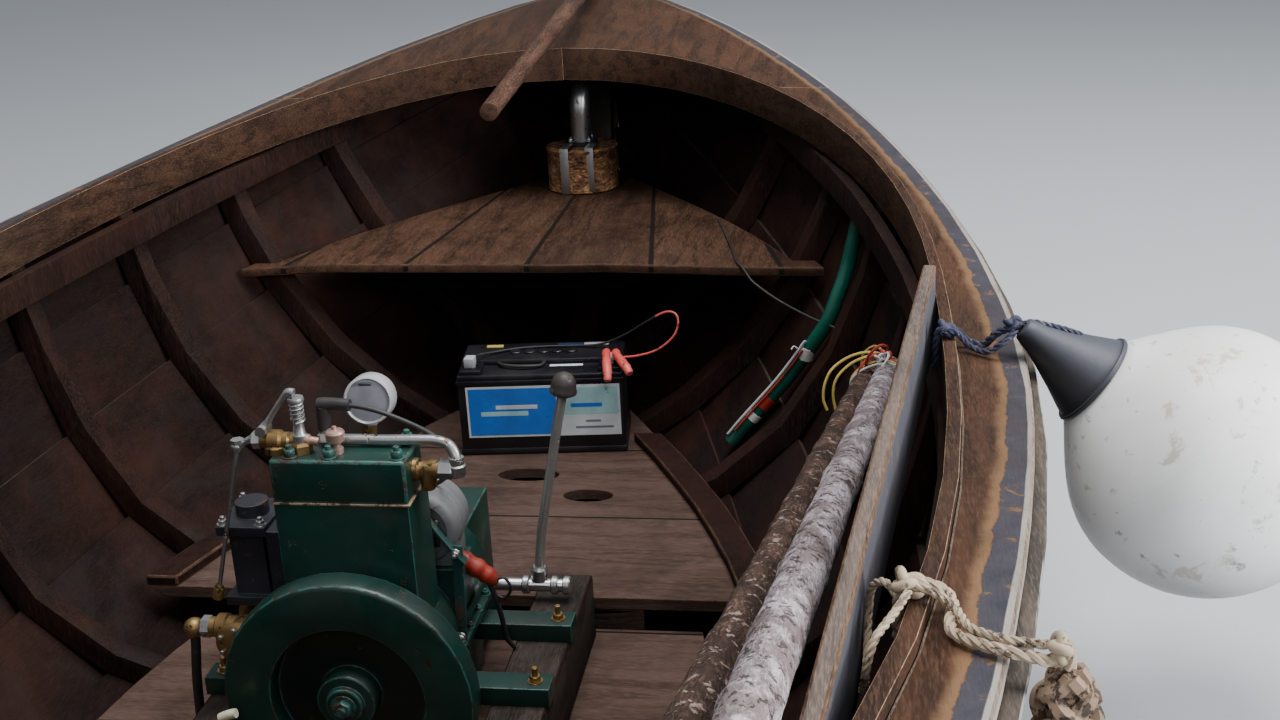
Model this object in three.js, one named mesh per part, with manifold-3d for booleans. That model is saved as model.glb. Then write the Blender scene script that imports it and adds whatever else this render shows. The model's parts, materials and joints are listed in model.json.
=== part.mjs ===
// Small double-ended wooden net fishing boat with an open single-cylinder engine.
// Millimetres. X forward, Y to port, Z up; the origin is amidships on the waterline.
import * as THREE from 'three';
import { mergeVertices } from 'three/addons/utils/BufferGeometryUtils.js';
import Module from 'manifold-3d';

const wasm = await Module();
wasm.setup();

const GAP = 0.3;

// Hull form
const STERN_X = -2545;
const BOW_X = 2545;
const WIDEST_X = -250;
const HALF_BEAM = 912;
const SHEER_LOW = 485;
const SHEER_LOW_X = -350;
const SHEER_RISE_AFT = 45e-6;
const SHEER_RISE_FORE = 38e-6;
const POST_HALF = 35;
const PLANK = 12;
const LAP = 22;
const DECK = 18;
const DECK_OVERHANG = 22;
const CAMBER = 12;
const KEEL_FOOT_AFT = -460;
const KEEL_FOOT_FORE = -405;
const RABBET_LOW = -300;
const KEEL_TOP = 45;
const POST_FOOT_X = -2400;
const FOREFOOT_X = 1900;
// Where the strakes' upper edges lie on a section, from the keel to the sheer
const LANDS = [0.10, 0.21, 0.345, 0.52, 0.70, 0.85, 1];
const STRAKES_BELOW = 4;

// Cockpit opening: a long oval inside the coaming
const COAMING = { middle: -375, aft: -1965, fore: 1445, half: 809, thick: 16, above: 14, below: 62 };

// Framing
const FRAME = { first: -1780, step: 320, count: 13, siding: 36, moulded: 42, clear: 1.15 };
const CLAMP = { deep: 55, thick: 22 };
const FLOOR = { from: -820, to: 1100, top: -197.6, siding: 32 };

// Soles and shelf
const SOLE = { aftTop: -115, foreTop: -175, thick: 22, stepX: -652, aftEnd: -1740, foreEnd: 1370 };
const STERN_TUBE = { fore: -1640, aft: -2150, radius: 24 };
const SHELF = { top: 255, thick: 20, aft: -2290, notch: -1438, side: 8 };
// The worn front edge of the stern shelf, from starboard to port
const SHELF_FRONT = [[-1425, -444], [-1412, 65], [-1418, 160], [-1388, 460]];
const SHELF_CORNERS = [-1390, -1384];

// Engine
const CRANK = { z: 12, radius: 17, from: -182, to: -108 };
const WHEEL = { x: -120, width: 46, radius: 181, hub: 40, backHub: 6 };
const SHAFT = { fore: [-640, -158], aft: [-2248, -257], radius: 14 };
const PROP = { x: -2210, radius: 122, hub: 24, length: 64 };
const APERTURE = { fore: -2140, top: -112, foot: -398 };

// Rudder
const RUDDER = { thick: 34, headZ: 800, tipX: -1198, tipZ: 625, stick: 18 };

const COLOURS = {
  oldWood: [0x4a3a2c, 0.8, 0], deckWood: [0x6b543c, 0.75, 0], darkWood: [0x2c241e, 0.85, 0],
  greenPaint: [0x0c3b2c, 0.4, 0.1], ironDark: [0x20242b, 0.5, 0.5], steel: [0xa8aaac, 0.35, 0.9],
  brass: [0xa07a3a, 0.4, 0.9], greyPaint: [0x8d9192, 0.5, 0.2], bronze: [0x8a6a3a, 0.4, 0.9],
  blackPlastic: [0x17181b, 0.4, 0], whitePlastic: [0xdedcd6, 0.4, 0], darkRubber: [0x23252c, 0.7, 0],
  poleBrown: [0x57463c, 0.8, 0], poleGrey: [0x85807c, 0.8, 0], rope: [0x9c8a70, 0.9, 0],
  navyRope: [0x1d2340, 0.9, 0], rust: [0x8a6440, 0.9, 0.2], hose: [0x0f6b52, 0.5, 0],
};

const boat = new THREE.Group();

function material(finish) {
  const [color, roughness, metalness] = COLOURS[finish];
  return new THREE.MeshStandardMaterial({ color, roughness, metalness });
}

function add(name, geometry, finish) {
  const mesh = new THREE.Mesh(geometry, material(finish));
  mesh.name = name;
  boat.add(mesh);
  return mesh;
}

// Closed bodies
function fromArrays(points, faces) {
  const geometry = new THREE.BufferGeometry();
  geometry.setAttribute('position', new THREE.Float32BufferAttribute(points.flat(), 3));
  let volume = 0;
  for (const [a, b, c] of faces) {
    const [p, q, r] = [points[a], points[b], points[c]];
    volume += p[0] * (q[1] * r[2] - q[2] * r[1]) - p[1] * (q[0] * r[2] - q[2] * r[0])
      + p[2] * (q[0] * r[1] - q[1] * r[0]);
  }
  const turned = volume < 0 ? faces.map(([a, b, c]) => [a, c, b]) : faces;
  geometry.setIndex(turned.flat());
  return geometry;
}

// A ring's outline as seen along the axis that shows it largest
function facing(ring) {
  const views = [[1, 2], [0, 2], [0, 1]].map(([u, v]) => ring.map((p) => new THREE.Vector2(p[u], p[v])));
  const size = (view) => Math.abs(THREE.ShapeUtils.area(view));
  return views.reduce((best, view) => (size(view) > size(best) ? view : best));
}

// Joins equal rings of [x, y, z] points into one body with flat ends
function loft(rings) {
  const n = rings[0].length;
  const points = rings.flat();
  const faces = [];
  for (let i = 0; i < rings.length - 1; i += 1) {
    const [here, next] = [i * n, (i + 1) * n];
    for (let j = 0; j < n; j += 1) {
      const k = (j + 1) % n;
      faces.push([here + j, here + k, next + k], [here + j, next + k, next + j]);
    }
  }
  const cap = (ring, start, last) => {
    for (const [a, b, c] of THREE.ShapeUtils.triangulateShape(facing(ring), [])) {
      const face = [start + a, start + b, start + c];
      const inOrder = (b - a + n) % n + (c - b + n) % n < n;
      faces.push(inOrder === last ? face : face.toReversed());
    }
  };
  cap(rings[0], 0, false);
  cap(rings.at(-1), points.length - n, true);
  return fromArrays(points, faces);
}

function box(x0, x1, y0, y1, z0, z1) {
  const geometry = new THREE.BoxGeometry(x1 - x0, y1 - y0, z1 - z0);
  return geometry.translate((x0 + x1) / 2, (y0 + y1) / 2, (z0 + z1) / 2);
}

// A round bar between two points
function bar(from, to, r0, r1 = r0, sides = 16) {
  const a = new THREE.Vector3(...from);
  const b = new THREE.Vector3(...to);
  const geometry = new THREE.CylinderGeometry(r1, r0, a.distanceTo(b), sides);
  const along = b.clone().sub(a).normalize();
  const turn = new THREE.Quaternion().setFromUnitVectors(new THREE.Vector3(0, 1, 0), along);
  geometry.applyQuaternion(turn);
  const mid = a.add(b).multiplyScalar(0.5);
  return geometry.translate(mid.x, mid.y, mid.z);
}

// A tube along a smooth line through the points
function tube(points, radius, steps, sides = 8) {
  const line = new THREE.CatmullRomCurve3(points.map((p) => new THREE.Vector3(...p)), false, 'centripetal');
  const section = new THREE.Shape();
  for (let i = 0; i < sides; i += 1) {
    const a = (i / sides) * 2 * Math.PI;
    section[i ? 'lineTo' : 'moveTo'](radius * Math.cos(a), radius * Math.sin(a));
  }
  section.closePath();
  return new THREE.ExtrudeGeometry(section, { steps, extrudePath: line });
}

// A side outline of [x, z] points, cut from stock between two y values
function slab(outline, y0, y1, holes = []) {
  const shape = new THREE.Shape(outline.map(([x, z]) => new THREE.Vector2(x, z)));
  shape.holes = holes.map((hole) => new THREE.Path(hole.map(([x, z]) => new THREE.Vector2(x, z))));
  const geometry = new THREE.ExtrudeGeometry(shape, { depth: y1 - y0, bevelEnabled: false });
  return geometry.rotateX(Math.PI / 2).translate(0, y1, 0);
}

// A plan outline of [x, y] points between two z values
function plate(outline, z0, z1, holes = []) {
  const shape = new THREE.Shape(outline.map(([x, y]) => new THREE.Vector2(x, y)));
  shape.holes = holes.map((hole) => new THREE.Path(hole.map(([x, y]) => new THREE.Vector2(x, y))));
  const geometry = new THREE.ExtrudeGeometry(shape, { depth: z1 - z0, bevelEnabled: false });
  return geometry.translate(0, 0, z0);
}

function solid(geometry) {
  const bare = geometry.clone();
  bare.deleteAttribute('normal');
  bare.deleteAttribute('uv');
  const merged = mergeVertices(bare, 1e-3);
  return new wasm.Manifold(new wasm.Mesh({
    numProp: 3,
    vertProperties: new Float32Array(merged.attributes.position.array),
    triVerts: new Uint32Array(merged.index.array),
  }));
}

function shapeOf(manifold) {
  const mesh = manifold.getMesh();
  const geometry = new THREE.BufferGeometry();
  geometry.setAttribute('position', new THREE.BufferAttribute(new Float32Array(mesh.vertProperties), 3));
  geometry.setIndex(new THREE.BufferAttribute(new Uint32Array(mesh.triVerts), 1));
  return geometry;
}

function join(...parts) {
  return shapeOf(parts.map(solid).reduce((a, b) => a.add(b)));
}

function cut(body, ...tools) {
  return shapeOf(tools.map(solid).reduce((a, b) => a.subtract(b), solid(body)));
}

function mirrored(geometry) {
  const copy = geometry.clone();
  const place = copy.attributes.position;
  for (let i = 0; i < place.count; i += 1) place.setY(i, -place.getY(i));
  const index = copy.index
    ? Array.from(copy.index.array)
    : Array.from(place.array.keys()).slice(0, place.count);
  for (let i = 0; i < index.length; i += 3) [index[i + 1], index[i + 2]] = [index[i + 2], index[i + 1]];
  copy.setIndex(index);
  return copy;
}

// One shape on each side of the boat
function pair(name, geometry, finish) {
  add(`${name}_port`, geometry, finish);
  add(`${name}_starboard`, mirrored(geometry), finish);
}

// Hull lines
function sheer(x) {
  const d = x - SHEER_LOW_X;
  return SHEER_LOW + (d < 0 ? SHEER_RISE_AFT : SHEER_RISE_FORE) * d * d;
}

function halfBreadth(x) {
  const aft = x < WIDEST_X;
  const u = Math.min(1, aft ? (WIDEST_X - x) / (WIDEST_X - STERN_X) : (x - WIDEST_X) / (BOW_X - WIDEST_X));
  const fullness = aft ? (1 - u ** 2) ** 0.717 : (1 - u ** 1.6) ** 0.8;
  return POST_HALF + (HALF_BEAM - POST_HALF) * fullness;
}

function rabbetZ(s) {
  return RABBET_LOW + (s < 0 ? 320 : 140) * s ** 4;
}

function bezier(a, b, c, d, t) {
  const u = 1 - t;
  return a * u ** 3 + 3 * b * u * u * t + 3 * c * u * t * t + d * t ** 3;
}

// Section shape: how far out and how far up, from 0 at the keel to 1 at the sheer
function section(s, t) {
  const u = s * s;
  const v = u * (u - 0.3025);
  const out = bezier(0, 0.92 - 1.124 * u + 0.436 * v, 0.86 + 0.066 * u - 0.61 * v, 1, t);
  const up = bezier(0, 0.02 + 0.397 * u - 0.239 * v, 0.34 + 0.397 * u - 0.167 * v, 1, t);
  return [out, up];
}

function endHeight(s, t) {
  const top = sheer(s < 0 ? STERN_X : BOW_X) - DECK;
  const foot = rabbetZ(Math.sign(s));
  return foot + (top - foot) * section(1, t)[1];
}

// How far along the boat a level of the planking ends, at the sternpost or at the stem
function endX(s, t) {
  const up = section(1, t)[1];
  if (s < 0) return POST_FOOT_X + (STERN_X - POST_FOOT_X) * up;
  return FOREFOOT_X + (BOW_X - FOREFOOT_X) * (1 - (1 - up) ** 1.9);
}

function hullPoint(s, t) {
  const x = Math.abs(s) * endX(s, t);
  const top = sheer(s * (s < 0 ? -STERN_X : BOW_X)) - DECK - 3 * GAP;
  const edge = halfBreadth(s * (s < 0 ? -STERN_X : BOW_X));
  const breadth = POST_HALF + (edge - POST_HALF) * (1 - DECK_OVERHANG / (HALF_BEAM - POST_HALF));
  const [out, up] = section(s, t);
  const foot = rabbetZ(s);
  return [x, POST_HALF + 3 * GAP + (breadth - POST_HALF) * out, foot + (top - foot) * up];
}

const STATIONS = [];
for (let i = -12; i <= 12; i += 1) STATIONS.push(Math.sin((i / 12) * Math.PI / 2) * 0.35 + (i / 12) * 0.65);

// The planking's inside at a place along the boat, on the straight run between two stations
function insideAt(x, t) {
  const line = STATIONS.map((s) => hullPoint(s, t));
  const i = Math.max(1, line.findIndex((p) => p[0] > x));
  const [a, b] = [line[i - 1], line[i]];
  const part = (x - a[0]) / (b[0] - a[0]);
  return [x, a[1] + (b[1] - a[1]) * part, a[2] + (b[2] - a[2]) * part];
}

function levelAt(x, z) {
  let low = 0;
  let high = 1;
  for (let i = 0; i < 24; i += 1) {
    const mid = (low + high) / 2;
    if (insideAt(x, mid)[2] < z) low = mid;
    else high = mid;
  }
  return low;
}

function insideHalf(x, z) {
  return insideAt(x, levelAt(x, z))[1];
}

// The corners of each strake where a station crosses it, worked up from the keel
function strakesAt(s) {
  const rows = [];
  let low = hullPoint(s, 0);
  let lap = null;
  let out = [0, 0];
  LANDS.forEach((t, i) => {
    const top = hullPoint(s, t);
    const mid = lap ?? low;
    const run = [top[1] - mid[1], top[2] - mid[2]];
    const size = Math.hypot(...run);
    const dir = [run[0] / size, run[1] / size];
    const normal = [dir[1], -dir[0]];
    const shift = (p, n, d) => [p[0], p[1] + n[0] * d, p[2] + n[1] * d];
    const lower = lap ? normalMean(out, normal) : normal;
    rows.push({
      innerLow: low, innerMid: mid, innerTop: top,
      outerLow: shift(low, lap ? out : normal, PLANK), outerMid: shift(mid, lower, PLANK),
      outerTop: shift(top, normal, PLANK),
    });
    const clear = i === STRAKES_BELOW - 1 ? PLANK + GAP : PLANK;
    lap = shift(top, normal, clear);
    const reach = Math.min(LAP, size * 0.4);
    low = [lap[0], lap[1] - dir[0] * reach, lap[2] - dir[1] * reach];
    out = normal;
  });
  return rows;
}

function normalMean(a, b) {
  const sum = [a[0] + b[0], a[1] + b[1]];
  const size = Math.hypot(...sum);
  return [sum[0] / size, sum[1] / size];
}

function planking(from, to) {
  const rings = STATIONS.map((s) => {
    const rows = strakesAt(s).slice(from, to);
    const up = rows.flatMap((row, i) => {
      const first = i === 0 && from > 0 ? [row.innerLow] : [];
      return [...first, row.innerMid, row.innerTop];
    });
    const down = rows.toReversed().flatMap((row, i) => {
      const lowest = i === rows.length - 1;
      const outer = lowest && from === 0 ? [row.outerLow] : [row.outerMid, row.outerLow];
      return lowest ? outer : [...outer, row.innerLow];
    });
    return [...up, rows.at(-1).outerTop, ...down];
  });
  return loft(rings);
}

// Backbone
const POST_TOP = sheer(STERN_X) - DECK;
const POST_RAKE = (STERN_X - POST_FOOT_X) / (POST_TOP - rabbetZ(-1));
const BACKBONE = { inner: 60, outer: 48, rabbetHalf: POST_HALF + PLANK, faceHalf: 24 };

function postLine(z) {
  return POST_FOOT_X + POST_RAKE * (z - rabbetZ(-1));
}

function keelTop(x) {
  return rabbetZ(x / Math.abs(endX(x < 0 ? -1 : 1, 0))) + KEEL_TOP;
}

function keel() {
  const heel = (z) => postLine(z) + BACKBONE.inner + 2;
  const fore = FOREFOOT_X - 110;
  const top = [];
  for (let i = 0; i <= 40; i += 1) {
    const x = heel(rabbetZ(-1)) + (fore - heel(rabbetZ(-1))) * (i / 40);
    top.push([x, keelTop(x)]);
  }
  const outline = [
    [heel(KEEL_FOOT_AFT), KEEL_FOOT_AFT], [fore, KEEL_FOOT_FORE], ...top.toReversed(),
    [heel(APERTURE.top), APERTURE.top], [APERTURE.fore, APERTURE.top], [APERTURE.fore, APERTURE.foot],
    [heel(APERTURE.foot), APERTURE.foot],
  ];
  const [from, to] = [SHAFT.fore, SHAFT.aft];
  const bore = bar([from[0], 0, from[1]], [to[0], 0, to[1]], STERN_TUBE.radius + GAP, undefined, 20);
  return cut(slab(outline, -POST_HALF, POST_HALF), bore);
}

// A post's section: narrow inside the planking, full width past its ends, tapered to its outer face
function postRing(place, normal, inner, outer, half, grow) {
  const at = (a, y) => [place[0] + normal[0] * a, y, place[1] + normal[1] * a];
  const side = [[-inner - grow, POST_HALF + grow], [-grow, POST_HALF + grow], [1 - grow, half + grow],
    [outer + grow, BACKBONE.faceHalf + grow]];
  return [...side.map(([a, y]) => at(a, -y)), ...side.toReversed().map(([a, y]) => at(a, y))];
}

function stem(grow = 0) {
  const rings = [];
  const fore = FOREFOOT_X - 110 + GAP;
  const keelTop = rabbetZ(fore / FOREFOOT_X);
  rings.push(postRing([fore, keelTop], [0, -1], KEEL_TOP, keelTop - KEEL_FOOT_FORE, POST_HALF, grow));
  const levels = [0, 0.12, 0.25, 0.4, 0.55, 0.7, 0.85, 1];
  const at = (t) => [endX(1, t), endHeight(1, t)];
  levels.forEach((t) => {
    const [a, b] = [at(Math.max(0, t - 0.01)), at(Math.min(1, t + 0.01))];
    const size = Math.hypot(b[0] - a[0], b[1] - a[1]);
    const normal = [(b[1] - a[1]) / size, -(b[0] - a[0]) / size];
    rings.push(postRing(at(t), normal, BACKBONE.inner, t === 0 ? 92 : BACKBONE.outer + (t < 0.2 ? 12 : 0),
      t < 0.2 ? POST_HALF : BACKBONE.rabbetHalf, grow));
  });
  const head = [at(1)[0] + 2, at(1)[1] + 110];
  rings.push(postRing(head, [1, 0], BACKBONE.inner, BACKBONE.outer - 6, POST_HALF, grow));
  return loft(rings);
}

function sternpost(grow = 0) {
  const rings = [KEEL_FOOT_AFT, -130, rabbetZ(-1), 250, POST_TOP].map((z) => (
    postRing([postLine(z), z],
      [-1, 0], BACKBONE.inner, BACKBONE.outer, z < 0 ? POST_HALF : BACKBONE.rabbetHalf,
      grow)));
  const head = POST_TOP + 22;
  rings.push(postRing([postLine(head), head], [-1, 0], BACKBONE.inner, BACKBONE.outer, POST_HALF, grow));
  return loft(rings);
}

add('keel', keel(), 'oldWood');
add('stem', stem(), 'oldWood');
add('sternpost', sternpost(), 'oldWood');

// The strakes' ends are trimmed to the posts
function trimmedPlanking(from, to) {
  return cut(planking(from, to), stem(2 * GAP), sternpost(2 * GAP));
}

pair('lower_planking', trimmedPlanking(0, STRAKES_BELOW), 'oldWood');
pair('upper_planking', trimmedPlanking(STRAKES_BELOW, LANDS.length), 'oldWood');

// Coaming and decks
function deckTop(x, y) {
  return sheer(x) + CAMBER * Math.max(0, 1 - (y / halfBreadth(x)) ** 2);
}

function coamingHalf(x) {
  const aft = x < COAMING.middle;
  const reach = aft ? COAMING.middle - COAMING.aft : COAMING.fore - COAMING.middle;
  const v = Math.min(1, Math.abs(x - COAMING.middle) / reach);
  return COAMING.half * (1 - v ** (aft ? 2.4 : 2.45)) ** 0.5;
}

// The coaming's plan line from aft to forward on the port side, moved outwards
function coamingLine(outwards) {
  const count = 30;
  const line = [];
  for (let i = 0; i <= count; i += 1) {
    const a = (i / count - 0.5) * Math.PI;
    const reach = a < 0 ? COAMING.middle - COAMING.aft : COAMING.fore - COAMING.middle;
    const x = COAMING.middle + reach * Math.sin(a);
    line.push([x, coamingHalf(x)]);
  }
  return line.map(([x, y], i) => {
    const [a, b] = [line[Math.max(0, i - 1)], line[Math.min(count, i + 1)]];
    const end = i === 0 || i === count;
    const d = end ? [0, i ? -1 : 1] : [b[0] - a[0], b[1] - a[1]];
    const size = Math.hypot(...d);
    return [x - (d[1] / size) * outwards, end ? 0 : y + (d[0] / size) * outwards];
  });
}

function coamingPrism(outwards, z0, z1) {
  const port = coamingLine(outwards);
  const starboard = port.slice(1, -1).map(([x, y]) => [x, -y]).toReversed();
  return plate([...port, ...starboard], z0, z1);
}

function coaming(grow = 0) {
  const inner = coamingLine(-grow);
  const outer = coamingLine(COAMING.thick + grow);
  return loft(inner.map(([x, y], i) => {
    const [u, v] = outer[i];
    const top = deckTop(x, y) + COAMING.above;
    const foot = top - COAMING.above - COAMING.below - grow;
    const near = Math.max(y, GAP - grow);
    const far = Math.max(v, GAP - grow);
    return [[x, near, foot], [x, near, top], [u, far, top], [u, far, foot]];
  }));
}

function wholeDeck() {
  const rings = [];
  const across = [-1, -0.75, -0.5, -0.25, 0, 0.25, 0.5, 0.75, 1];
  for (let i = 0; i <= 44; i += 1) {
    const x = (STERN_X + 14) + (BOW_X - STERN_X - 28) * (i / 44);
    const half = halfBreadth(x);
    const top = across.map((p) => [x, p * half, deckTop(x, p * half)]);
    rings.push([...top, ...top.toReversed().map(([u, v, w]) => [u, v, w - DECK])]);
  }
  const deck = loft(rings);
  const notch = BACKBONE.rabbetHalf + GAP;
  const stemNotch = box(BOW_X - BACKBONE.inner - 2, BOW_X + 200, -notch, notch, 300, 1200);
  const postNotch = box(STERN_X - 200, STERN_X + BACKBONE.inner + 12, -notch, notch, 300, 1200);
  return cut(deck, coamingPrism(COAMING.thick + GAP, 300, 1200), stemNotch, postNotch);
}

const DECK_JOINTS = { aft: -1700, fore: 1150 };

function decks() {
  const whole = solid(wholeDeck());
  const [far, wide] = [3000, 1200];
  const keep = (x0, x1, y0, y1) => shapeOf(whole.intersect(solid(box(x0, x1, y0, y1, 200, 1400))));
  add('foredeck', keep(DECK_JOINTS.fore + GAP, far, -wide, wide), 'deckWood');
  add('aft_deck', keep(-far, DECK_JOINTS.aft - GAP, -wide, wide), 'deckWood');
  add('side_deck_port', keep(DECK_JOINTS.aft, DECK_JOINTS.fore, 0, wide), 'deckWood');
  add('side_deck_starboard', keep(DECK_JOINTS.aft, DECK_JOINTS.fore, -wide, 0), 'deckWood');
}

// Beams under a closed deck, tied by the king plank along its middle
const DECK_BEAM = { siding: 38, deep: 44, kingHalf: 45, kingThick: 22 };

function deckBeams(stations, kingFrom, kingTo) {
  const under = (x, y) => deckTop(x, y) - DECK - 2 * GAP;
  const beams = stations.map((x) => {
    const foot = under(x, 0) - DECK_BEAM.deep;
    const ends = [-1, 1].map((side) => insideHalf(x + (side * DECK_BEAM.siding) / 2, foot));
    const half = Math.min(...ends) - 4;
    const rings = [-1, -0.5, 0, 0.5, 1].map((p) => {
      const y = p * half;
      const [low, high] = [under(x, y) - DECK_BEAM.deep, under(x, y)];
      const [aft, fore] = [x - DECK_BEAM.siding / 2, x + DECK_BEAM.siding / 2];
      const rise = Math.min(under(aft, y), under(fore, y)) - high;
      return [[aft, y, low], [fore, y, low], [fore, y, high + rise], [aft, y, high + rise]];
    });
    return loft(rings);
  });
  const king = [];
  for (let i = 0; i <= 6; i += 1) {
    const x = kingFrom + (kingTo - kingFrom) * (i / 6);
    const [half, high] = [DECK_BEAM.kingHalf, under(x, DECK_BEAM.kingHalf)];
    const low = high - DECK_BEAM.kingThick;
    king.push([[x, -half, low], [x, half, low], [x, half, high], [x, -half, high]]);
  }
  return join(loft(king), ...beams);
}

pair('coaming', coaming(), 'deckWood');
decks();
add('foredeck_beams', deckBeams([1496, 1860], 1490, 2300), 'oldWood');
add('aft_deck_beams', deckBeams([-2030, -2218, -2380], -2400, -2012), 'oldWood');

// Rub rail under the deck's edge, outside the top strake
const RAIL = { wide: 24, deep: 36 };

function rubRail() {
  const rings = STATIONS.filter((s) => Math.abs(s) < 0.99).map((s) => {
    const [x, y, z] = strakesAt(s).at(-1).outerTop;
    const top = z - 3 * GAP;
    const inner = y + 2 * GAP;
    return [[x, inner, top - RAIL.deep], [x, inner, top], [x, inner + RAIL.wide, top],
      [x, inner + RAIL.wide - 6, top - RAIL.deep]];
  });
  return loft(rings);
}

pair('rub_rail', rubRail(), 'darkWood');

// Frames with the clamp that ties their heads and the half beams under the side decks
const FRAME_STATIONS = Array.from({ length: FRAME.count }, (_, i) => FRAME.first + i * FRAME.step);

// Moves a section line into the boat; its lowest two points also by `foot`
function inwards(line, across, foot = 0) {
  return line.map((p, i) => {
    const distance = across + (i < 2 ? foot : 0);
    const [a, b] = [line[Math.max(0, i - 1)], line[Math.min(line.length - 1, i + 1)]];
    const run = [b[1] - a[1], b[2] - a[2]];
    const size = Math.hypot(...run);
    return [p[0], p[1] - (run[1] / size) * distance, p[2] + (run[0] / size) * distance];
  });
}

const FOOT_CLEAR = 5;

// The planking's inside edge at a place along the boat, straight from each strake's edge to the next
function innerLine(x) {
  const reaches = (t) => Math.abs(endX(Math.sign(x), t)) > Math.abs(x) + FRAME.siding;
  const levels = [0, ...LANDS.slice(0, -1)].filter(reaches);
  const line = (at) => {
    const points = [...levels, 0.985].map((t) => insideAt(at, t));
    if (levels[0] === 0) points[0] = points[0].map((v, i) => v + (points[1][i] - v) * 0.45);
    return points;
  };
  return line;
}

function frame(x) {
  const line = innerLine(x);
  const rings = [x - FRAME.siding / 2, x + FRAME.siding / 2].map((at) => (
    [...inwards(line(at), FRAME.clear, FOOT_CLEAR), ...inwards(line(at), FRAME.moulded).toReversed()]));
  return loft(rings);
}

function clamp() {
  const rings = [];
  const end = FRAME.first - 60;
  for (let i = 0; i <= 26; i += 1) {
    const x = end + (-end + FRAME_STATIONS.at(-1) + 60) * (i / 26);
    const top = sheer(x) - COAMING.below - 6;
    const y = insideHalf(x, top - CLAMP.deep) - FRAME.moulded + 2;
    rings.push([[x, y - CLAMP.thick, top - CLAMP.deep], [x, y, top - CLAMP.deep], [x, y, top],
      [x, y - CLAMP.thick, top]]);
  }
  return loft(rings);
}

function coamingOuter(x) {
  const line = coamingLine(COAMING.thick);
  const i = Math.max(1, line.findIndex((p) => p[0] > x));
  const [a, b] = [line[i - 1], line[i]];
  return a[1] + (b[1] - a[1]) * (x - a[0]) / (b[0] - a[0]);
}

function halfBeam(x) {
  const top = sheer(x) - DECK - 2;
  const near = Math.max(coamingOuter(x - 16), coamingOuter(x + 16)) + 3;
  return box(x - 16, x + 16, near, insideHalf(x, top - 40) - 12, top - 40, top);
}

function frames() {
  const beams = FRAME_STATIONS.filter((x) => x < DECK_JOINTS.fore).map(halfBeam);
  const centre = box(-3000, 3000, -300, POST_HALF + 1, -600, 1200);
  return cut(join(...FRAME_STATIONS.map(frame), clamp(), ...beams), centre, coaming(0.6));
}

pair('frames', frames(), 'oldWood');

// Floor timbers, tied by the keelson on the keel
function floorTimber(x) {
  const rings = [x - FLOOR.siding / 2, x + FLOOR.siding / 2].map((at) => {
    const foot = keelTop(at) + 3 * GAP;
    const [low, land, next] = innerLine(x)(at);
    const part = Math.min(1, (FLOOR.top - 14 - land[2]) / (next[2] - land[2]));
    const end = land.map((v, i) => v + (next[i] - v) * part);
    const line = inwards([low, land, end], 2 * GAP, FOOT_CLEAR);
    const port = [[at, POST_HALF + 1, foot], ...line, [at, line.at(-1)[1], FLOOR.top]];
    return [...port.toReversed().map(([u, v, w]) => [u, -v, w]), ...port];
  });
  return loft(rings);
}

function floors() {
  const stations = FRAME_STATIONS.filter((x) => x >= FLOOR.from && x <= FLOOR.to).map((x) => x + 36);
  const top = [];
  for (let x = FLOOR.from - 120; x <= FLOOR.to + 120; x += 60) top.push([x, keelTop(x) + 22]);
  const foot = top.map(([x, z]) => [x, z - 22 + 2 * GAP]).toReversed();
  return join(slab([...top, ...foot], -POST_HALF, POST_HALF), ...stations.map(floorTimber));
}

add('floor_timbers', floors(), 'oldWood');

// Soles over the floor timbers, with the riser board between their two levels
function soleHalf(x, z) {
  return insideHalf(x, z - FRAME.moulded * 1.25) - 5;
}

function sole(x0, x1, top) {
  const rings = [];
  const steps = Math.round((x1 - x0) / 110);
  for (let i = 0; i <= steps; i += 1) {
    const x = x0 + (x1 - x0) * (i / steps);
    const foot = top - SOLE.thick;
    const [wide, narrow] = [soleHalf(x, top), soleHalf(x, foot)];
    rings.push([[x, -wide, top], [x, wide, top], [x, narrow, foot], [x, -narrow, foot]]);
  }
  return loft(rings);
}

function roundPost(x, y, halfX, halfY) {
  const post = new THREE.CylinderGeometry(1, 1, 100, 20).rotateX(Math.PI / 2).scale(halfX, halfY, 1);
  return post.translate(x, y, SOLE.aftTop);
}

const HAND_HOLES = [{ x: -1151, y: 34, halfX: 30, halfY: 64 }, { x: -1057, y: 174, halfX: 27, halfY: 50 }];

function soles() {
  const holes = HAND_HOLES.map((h) => roundPost(h.x, h.y, h.halfX, h.halfY));
  add('aft_sole', cut(sole(SOLE.aftEnd, SOLE.stepX, SOLE.aftTop), ...holes), 'oldWood');
  add('fore_sole', sole(SOLE.stepX, SOLE.foreEnd, SOLE.foreTop), 'oldWood');
  const foot = SOLE.foreTop - SOLE.thick;
  const half = soleHalf(SOLE.stepX, foot) - 30;
  const riser = box(SOLE.stepX - 26, SOLE.stepX - GAP, -half, half, foot, SOLE.aftTop - SOLE.thick - GAP);
  const shaftHole = box(SOLE.stepX - 60, SOLE.stepX + 60, -40, 40, foot - 40, SHAFT.fore[1] + 20);
  add('sole_riser', cut(riser, shaftHole), 'oldWood');
}

soles();

// Battens along the aft sole's edges
const BATTEN = { aft: -1330, wide: 60, thick: 20 };

function marginBatten() {
  const rings = [];
  for (let i = 0; i <= 6; i += 1) {
    const x = BATTEN.aft + (SOLE.stepX - BATTEN.aft) * (i / 6);
    const y = soleHalf(x, SOLE.aftTop);
    const [low, high] = [SOLE.aftTop + GAP, SOLE.aftTop + BATTEN.thick];
    rings.push([[x, y - BATTEN.wide, low], [x, y, low], [x, y, high], [x, y - BATTEN.wide, high]]);
  }
  return loft(rings);
}

pair('margin_batten', marginBatten(), 'oldWood');

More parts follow.
